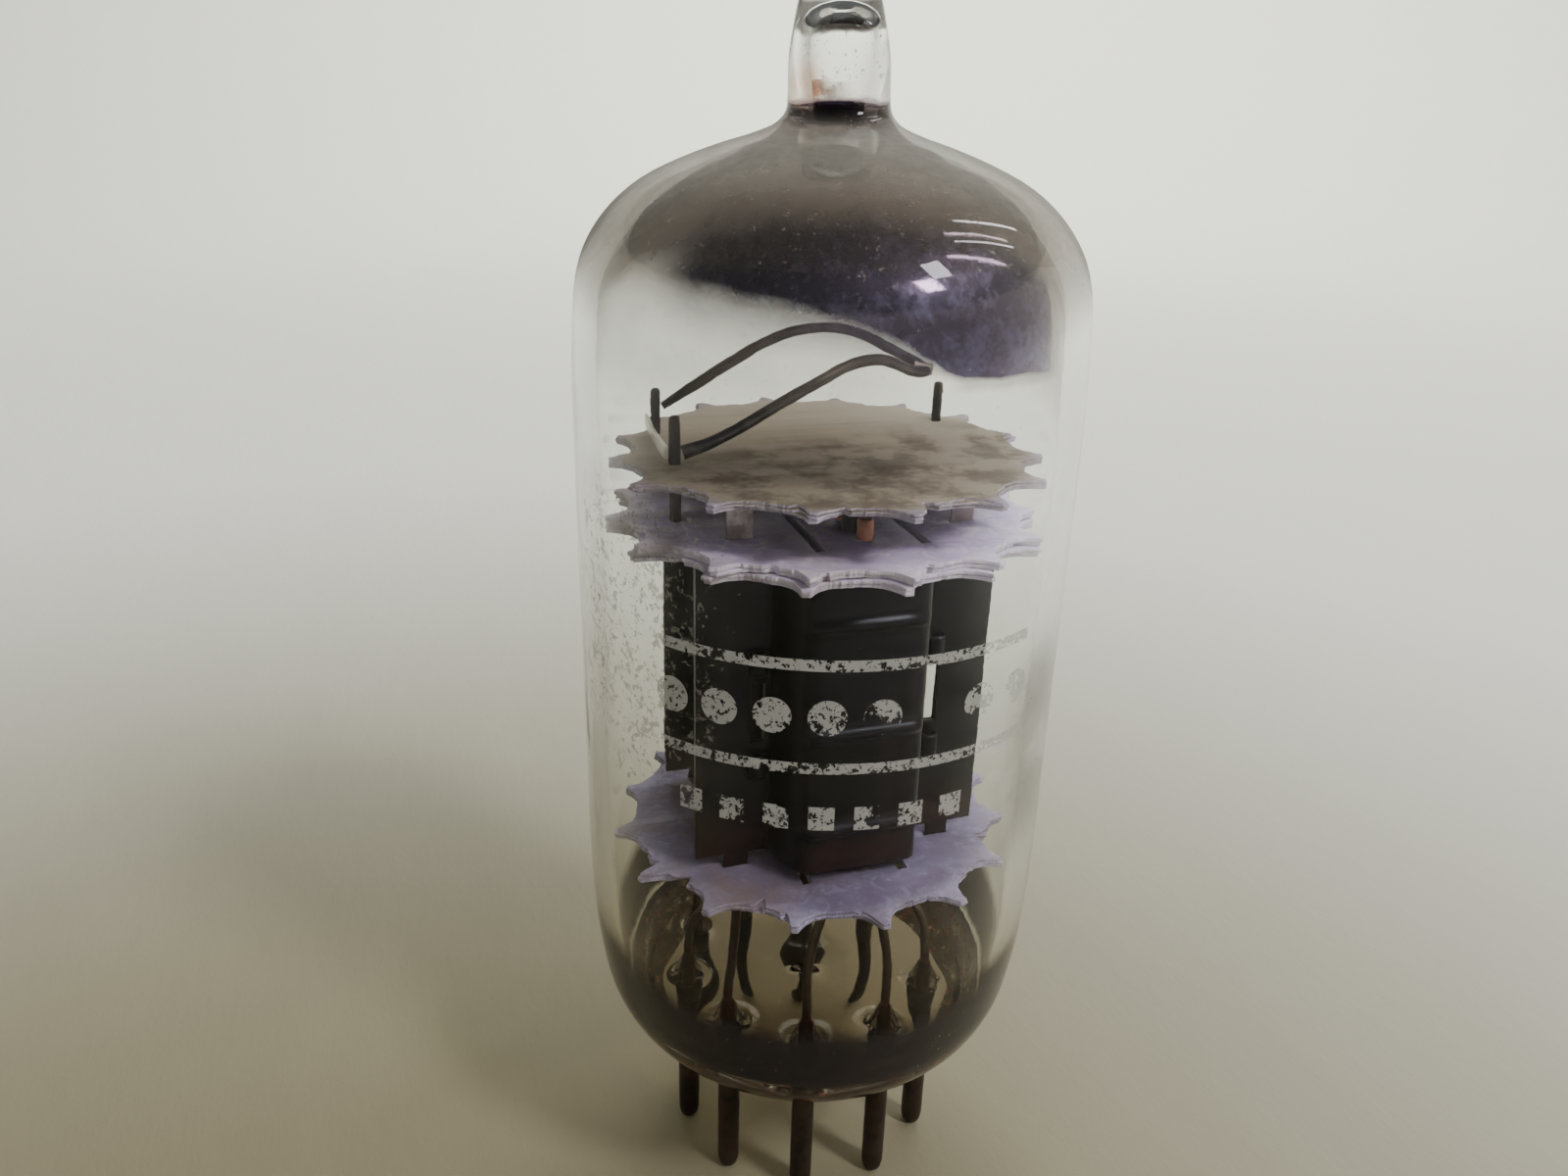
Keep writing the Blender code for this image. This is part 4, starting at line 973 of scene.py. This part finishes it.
# ----------------------------------------------------------------------------
# anodes
# ----------------------------------------------------------------------------
def plate_shell(name, node, side, outward, eared, seed):
    # Section polyline with rounded corners, as (x, d).
    key = [(-6.3, 0.0), (-5.1, 0.0), (-4.1, 0.0), (-3.5, 0.0)]
    corner_low = [(-3.34, 0.03), (-3.24, 0.14), (-3.17, 0.32)]
    wall_pts = [(-3.0, 0.78), (-2.82, 1.22), (-2.66, 1.62)]
    corner_high = [(-2.54, 1.9), (-2.42, 2.1), (-2.22, 2.22), (-1.98, PLATE_D)]
    face = [(-1.98 + 1.98 * k / 7, PLATE_D) for k in range(1, 7)]
    left = key + corner_low + wall_pts + corner_high + face
    section = left + [(0.0, PLATE_D)] + [(-x, d) for x, d in reversed(left)]
    rows = [EAR_LOW, EAR_LOW + 0.7, PLATE_LOW]
    z = PLATE_LOW
    grid = sorted(set([SLOT_Z[0], SLOT_Z[1], PLATE_HIGH]
                      + [round(PLATE_LOW + 0.55 * k, 3) for k in range(1, 25) if PLATE_LOW + 0.55 * k < PLATE_HIGH - 0.2]
                      + [round(rz + dz, 3) for rz in RIB_Z for dz in (-0.62, -0.44, -0.3, -0.18, -0.08, 0, 0.08, 0.18, 0.3, 0.44, 0.62)]))
    for v in grid:
        if v - rows[-1] > 0.05:
            rows.append(v)
    rows += [PLATE_HIGH + 1.0, EAR_HIGH - 0.35, EAR_HIGH]
    nx, nz = len(section) - 1, len(rows) - 1
    bm = bmesh.new()
    bmesh.ops.create_grid(bm, x_segments=nx, y_segments=nz, size=1.0)
    where = {v: (round((v.co.x + 1) / 2 * nx), round((v.co.y + 1) / 2 * nz)) for v in bm.verts}
    gone = []
    for f in bm.faces:
        i = min(where[v][0] for v in f.verts)
        j = min(where[v][1] for v in f.verts)
        x_mid = abs(section[i][0] + section[i + 1][0]) / 2
        z_mid = (rows[j] + rows[j + 1]) / 2
        in_ear = EAR_X[0] < x_mid < EAR_X[1] and eared
        beyond = not PLATE_LOW < z_mid < PLATE_HIGH
        in_slot = SLOT_X[0] < x_mid < SLOT_X[1] and SLOT_Z[0] < z_mid < SLOT_Z[1]
        if (beyond and not in_ear) or in_slot:
            gone.append(f)
    bmesh.ops.delete(bm, geom=gone, context="FACES")
    for v in bm.verts:
        i, j = where[v]
        x, d = section[i]
        z = rows[j]
        if d > 1.5 or abs(x) < 2.6:
            for rz in RIB_Z:
                along = min(1.0, max(0.0, (2.6 - abs(x)) / 0.45))
                d += 0.24 * along * math.exp(-((z - rz) / 0.24) ** 2)
        # Pressed sheet is never quite flat.
        d += 0.02 * noise.noise(Vector((x * 0.6, z * 0.35, seed)))
        if z > PLATE_HIGH or z < PLATE_LOW:
            lean = (z - PLATE_HIGH) if z > PLATE_HIGH else (PLATE_LOW - z)
            x += 0.015 * lean * (1 if x > 0 else -1)
        y = side * TRIODE_Y + outward * (d + SEAM)
        v.co = (x * MM, y * MM, z * MM)
    if outward > 0:
        bmesh.ops.reverse_faces(bm, faces=bm.faces)
    mesh = bpy.data.meshes.new(name)
    bm.to_mesh(mesh)
    bm.free()
    obj = new_object(name, mesh, PLATE)
    solid = obj.modifiers.new("Sheet", "SOLIDIFY")
    solid.thickness = 0.15 * MM
    solid.offset = 0.0
    solid.use_even_offset = True
    edge = obj.modifiers.new("Edge", "BEVEL")
    edge.width = 0.025 * MM
    edge.segments = 2
    edge.limit_method = "ANGLE"
    edge.angle_limit = math.radians(50)
    return on_root(obj, node, slot="blackened_plate")


plate_shell("anode_front_outer_shell", "plate_front_outer", -1, -1, True, 1.0)
plate_shell("anode_front_inner_shell", "plate_front_inner", -1, 1, False, 2.0)
plate_shell("anode_rear_inner_shell", "plate_rear_inner", 1, -1, False, 3.0)
plate_shell("anode_rear_outer_shell", "plate_rear_outer", 1, 1, True, 4.0)

# Clinched lugs that hold each pair of flanges together, over and under the slots.
for label, side in (("front", -1), ("rear", 1)):
    for flip, where_ in ((-1, "left"), (1, "right")):
        bm = bmesh.new()
        for z_mid in (20.55, 15.9):
            path = [Vector((flip * 3.5, side * (TRIODE_Y + 0.17), z_mid)),
                    Vector((flip * 3.52, side * (TRIODE_Y + 0.42), z_mid)),
                    Vector((flip * 3.8, side * (TRIODE_Y + 0.55), z_mid)),
                    Vector((flip * 4.08, side * (TRIODE_Y + 0.42), z_mid)),
                    Vector((flip * 4.1, side * (TRIODE_Y + 0.17), z_mid))]
            path = catmull(path, 5)
            rows_ = []
            for p in path:
                rows_.append([bm.verts.new(Vector((p.x, p.y, p.z + dz)) * MM) for dz in (-0.5, -0.3, 0.3, 0.5)])
            for a, b in zip(rows_, rows_[1:]):
                for k in range(3):
                    bm.faces.new((a[k], a[k + 1], b[k + 1], b[k]))
        bmesh.ops.recalc_face_normals(bm, faces=bm.faces)
        mesh = bpy.data.meshes.new(f"clinch_{label}_{where_}")
        bm.to_mesh(mesh)
        bm.free()
        lug = new_object(f"clinch_{label}_{where_}", mesh, PLATE)
        thick = lug.modifiers.new("Sheet", "SOLIDIFY")
        thick.thickness = 0.13 * MM
        thick.offset = 0.0
        on_root(lug, slot="blackened_plate")

# ----------------------------------------------------------------------------
# grids, cathodes, heaters
# ----------------------------------------------------------------------------
for label, side in (("front", -1), ("rear", 1)):
    yc = side * TRIODE_Y
    for where_, dy in (("outer", side * ROD_DY), ("inner", -side * ROD_DY)):
        profile = [(0.0, ROD_HIGH), (0.26, ROD_HIGH - 0.015), (ROD_R, ROD_HIGH - 0.09), (ROD_R, 20.0),
                   (ROD_R, ROD_LOW + 0.08), (0.27, ROD_LOW), (0.0, ROD_LOW)]
        on_root(lathe(f"side_rod_{label}_{where_}", profile, 28, COPPER, centre=(0.0, yc + dy), sharp=40),
                f"grid_rod_{label}_{where_}", slot="copper_rod")
    turns, low, high = 30, PLATE_LOW + 0.4, PLATE_HIGH - 0.4
    coil = []
    per = 22
    for k in range(turns * per + 1):
        a = math.tau * k / per
        coil.append((1.25 * math.cos(a), yc + 1.64 * math.sin(a), low + (high - low) * k / (turns * per)))
    on_root(tube_along(f"grid_helix_{label}", coil, 0.035, GOLD_WIRE, sides=6),
            f"grid_winding_{label}", slot="grid_wire")
    sleeve = [(0.43, 26.6), (0.49, 26.6), (0.51, 26.57), (0.51, 20.0), (0.51, 10.03), (0.49, 10.0),
              (0.43, 10.0), (0.41, 10.03), (0.41, 26.57), (0.43, 26.6)]
    on_root(lathe(f"sleeve_{label}", sleeve, 32, DARK_SLEEVE, centre=(0.0, yc), sharp=40),
            f"cathode_sleeve_{label}", slot="nickel")
    tail = catmull([(-side * 0.62, yc, 10.5), (-side * 0.82, yc + side * 0.25, 9.95),
                    (-side * 1.05, yc + side * 0.62, 9.75), (-side * 1.2, yc + side * 0.9, 9.45)], 6)
    on_root(tube_along(f"cathode_ribbon_{label}", tail, 0.16, NICKEL, sides=12, flat=lambda u: (1.5, 0.35)),
            f"cathode_tail_{label}", slot="nickel")

for name in ("heater_front", "heater_rear"):
    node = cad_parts[name]
    node.data.materials.clear()
    node.data.materials.append(COATING)

# ----------------------------------------------------------------------------
# posts, crossbar and getter
# ----------------------------------------------------------------------------
for k, (name, (x, y, top)) in enumerate(POSTS.items()):
    profile = [(0.0, top), (0.13, top - 0.02), (0.2, top - 0.08), (0.222, top - 0.3), (0.222, 29.0),
               (0.226, 27.0), (0.222, 25.0), (0.2, 24.55), (0.0, 24.5)]
    on_root(lathe(name + "_rod", profile, 24, DARK_SLEEVE, centre=(x, y), sharp=50), name, slot="nickel")

bm = bmesh.new()
rows_ = []
for k in range(25):
    t = k / 24
    y = -1.58 + 5.46 * t
    bow = 0.06 * math.sin(t * math.pi)
    tall = 0.25 + 0.02 * math.sin(t * 9)
    rows_.append([bm.verts.new(Vector((-6.9 - bow + dx, y, 28.72 + dz)) * MM)
                  for dx, dz in ((-0.07, -tall), (0.07, -tall), (0.07, tall), (-0.07, tall))])
for a, b in zip(rows_, rows_[1:]):
    for k in range(4):
        bm.faces.new((a[k], a[(k + 1) % 4], b[(k + 1) % 4], b[k]))
bm.faces.new(rows_[0][::-1])
bm.faces.new(rows_[-1])
bmesh.ops.recalc_face_normals(bm, faces=bm.faces)
mesh = bpy.data.meshes.new("getter_strap")
bm.to_mesh(mesh)
bm.free()
strap = new_object("getter_strap", mesh, STRAP, sharp=40)
edge = strap.modifiers.new("Edge", "BEVEL")
edge.width = 0.03 * MM
edge.segments = 2
edge.limit_method = "ANGLE"
on_root(strap, "getter_crossbar", slot="nickel")

REAR_LEG = [(-6.25, 3.42, 29.38), (-5.0, 3.45, 30.08), (-3.43, 3.41, 31.05), (-1.78, 3.23, 31.98),
            (-0.96, 3.1, 32.36), (0.26, 2.84, 32.65), (1.46, 2.52, 32.64), (2.47, 2.2, 32.34),
            (3.27, 1.9, 31.9), (4.06, 1.57, 31.5), (4.62, 1.32, 31.22)]
FRONT_LEG = [(-6.25, -1.18, 28.62), (-5.2, -1.16, 28.93), (-3.78, -1.04, 29.54), (-2.11, -0.8, 30.35),
             (-0.37, -0.44, 31.11), (0.6, -0.2, 31.5), (1.46, 0.03, 31.67), (2.43, 0.32, 31.66),
             (3.2, 0.56, 31.4), (4.0, 0.82, 31.08), (4.55, 1.0, 30.97)]
tip = [(4.85, 1.2, 31.1), (4.9, 1.14, 31.06), (4.85, 1.08, 31.0)]
loop = catmull(REAR_LEG + tip + FRONT_LEG[::-1], 6)


def pinch(u):
    """The two ends are flattened where they are welded, and the free end is squeezed."""
    near_end = max(0.0, 1 - min(u, 1 - u) / 0.05)
    near_tip = max(0.0, 1 - abs(u - 0.5) / 0.06)
    return 1 + 0.25 * near_end, 1 - 0.35 * near_end - 0.25 * near_tip


on_root(tube_along("getter_hairpin", loop, 0.235, GETTER, sides=18, flat=pinch, ripple=0.04, seed=3),
        "getter_loop", slot="getter_wire")
# The squeezed and welded end of the hairpin.
end_path = catmull([(4.35, 1.28, 31.16), (4.6, 1.22, 31.12), (4.9, 1.15, 31.06), (5.12, 1.1, 31.03)], 5)
on_root(tube_along("getter_weld", end_path, 0.26, STRAP, sides=16, flat=lambda u: (0.75, 1.0)), slot="getter_wire")

# ----------------------------------------------------------------------------
# generic worn ink: two rules with plain blocks between them, on the bulb's front
# ----------------------------------------------------------------------------
def ink_patch(bm, az0, az1, z0, z1, r=10.312):
    """A rectangle bent onto the bulb: azimuths in degrees from -Y, heights in mm."""
    across = max(2, int(abs(az1 - az0) * 1.2))
    up = max(1, int(abs(z1 - z0) * 2))
    grid = []
    for j in range(up + 1):
        z = z0 + (z1 - z0) * j / up
        grid.append([bm.verts.new(Vector((*around(az0 + (az1 - az0) * i / across, r), z)) * MM)
                     for i in range(across + 1)])
    for a, b in zip(grid, grid[1:]):
        for i in range(across):
            bm.faces.new((a[i], a[i + 1], b[i + 1], b[i]))


front_az = math.degrees(FRONT_AZ)
bm = bmesh.new()
ink_patch(bm, front_az - 34, front_az + 50, 22.75, 23.2)
for k in range(8):
    # A row of plain round dots.
    centre, height, r = front_az - 31 + 11.2 * k, 20.9, 0.72
    if k == 5:
        continue
    ring = [bm.verts.new(Vector((*around(centre + math.degrees(r / 10.3) * math.cos(math.tau * i / 28), 10.312),
                                 height + r * math.sin(math.tau * i / 28))) * MM) for i in range(28)]
    hub = bm.verts.new(Vector((*around(centre, 10.312), height)) * MM)
    for i in range(28):
        bm.faces.new((hub, ring[i], ring[(i + 1) % 28]))
ink_patch(bm, front_az - 34, front_az + 50, 18.6, 19.05)
for k in range(7):
    ink_patch(bm, front_az - 29 + 9.5 * k, front_az - 29 + 9.5 * k + 5.4, 16.2, 17.2)
mesh = bpy.data.meshes.new("ink_band")
bm.to_mesh(mesh)
bm.free()
on_root(new_object("ink_band", mesh, INK), slot="bulb_glass")

# ----------------------------------------------------------------------------
# stage, camera and light
# ----------------------------------------------------------------------------
FLOOR = PIN_BOTTOM - 0.02
bowl = [(0.0, FLOOR), (120.0, FLOOR), (300.0, FLOOR), (520.0, FLOOR), (700.0, FLOOR + 30),
        (850.0, FLOOR + 110), (960.0, FLOOR + 260), (1000.0, FLOOR + 480)]
floor = lathe("floor", [(0.0, FLOOR)] + [tuple(p) for p in catmull(bowl[1:], 6)], 96, floor_material())
floor.data.flip_normals()
floor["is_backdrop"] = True

cam_data = bpy.data.cameras.new("camera")
cam_data.sensor_width = 36.0
cam_data.lens = 36.0 * 1197.32 / 1600
cam_data.clip_start = 0.001
cam_data.clip_end = 20.0
cam = bpy.data.objects.new("camera", cam_data)
scene.collection.objects.link(cam)
forward = Vector((0.28336472, 0.88271468, -0.37485894))
right = Vector((0.95494869, -0.29566044, 0.02564953))
upward = Vector((0.08818975, 0.36523923, 0.92672697))
axes = Matrix((right, upward, -forward)).transposed()
cam.matrix_world = Matrix.Translation(Vector((-15.978, -44.674, 40.895)) * MM) @ axes.to_4x4()
scene.camera = cam


def area(name, at, look, size, power, colour=(1, 1, 1), size_y=None):
    data = bpy.data.lights.new(name, "AREA")
    data.shape = "RECTANGLE" if size_y else "SQUARE"
    data.size = size
    if size_y:
        data.size_y = size_y
    data.energy = power
    data.color = colour
    lamp = bpy.data.objects.new(name, data)
    scene.collection.objects.link(lamp)
    lamp.location = at
    lamp.rotation_euler = (Vector(look) - Vector(at)).to_track_quat("-Z", "Y").to_euler()
    return lamp


def from_camera(right, forward, height):
    """A place given as the camera sees it: to its right, away from it, and up, in metres."""
    v = Matrix.Rotation(FRONT_AZ, 3, "Z") @ Vector((right, forward, 0))
    return (v.x, v.y, height)


def strip(name, at, heading, length, width, power, colour=(1, 1, 1)):
    """A long lamp that hangs level and shines straight down, turned to a heading seen from above."""
    data = bpy.data.lights.new(name, "AREA")
    data.shape = "RECTANGLE"
    data.size = length
    data.size_y = width
    data.energy = power
    data.color = colour
    lamp = bpy.data.objects.new(name, data)
    scene.collection.objects.link(lamp)
    lamp.location = at
    lamp.rotation_euler = (0, 0, FRONT_AZ + math.radians(heading))
    return lamp


area("key", from_camera(0.30, -0.20, 0.38), (0, 0, 0.03), 0.075, 1.5, (1.0, 0.985, 0.95), size_y=0.10)
soft_fill = area("fill", from_camera(-0.6, -0.25, 0.55), (0, 0, 0.02), 0.5, 0.42, (0.93, 0.96, 1.0))
backdrop = area("backdrop", from_camera(0.05, 0.60, 0.60), from_camera(0.0, 0.75, 0.0), 0.6, 9.2, (0.98, 1.0, 0.99))
behind = area("backdrop_rear", from_camera(0.0, -0.60, 0.60), from_camera(0.0, -0.80, 0.0), 0.6, 0.55, (0.98, 1.0, 0.99))
# These only light the stage evenly: their outlines don't show in the glass.
for lamp in (soft_fill, backdrop, behind):
    lamp.visible_glossy = False
    lamp.visible_transmission = False
strip("tube_a", from_camera(0.565, 0.12, 0.60), 40, 0.42, 0.018, 0.8)
strip("tube_b", from_camera(0.48, 0.29, 0.60), 44, 0.42, 0.018, 0.8)

world = bpy.data.worlds.new("room")
scene.world = world
world.use_nodes = True
sky = world.node_tree.nodes["Background"]
sky.inputs["Color"].default_value = (0.80, 0.83, 0.82, 1.0)
sky.inputs["Strength"].default_value = 0.13

low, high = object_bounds()
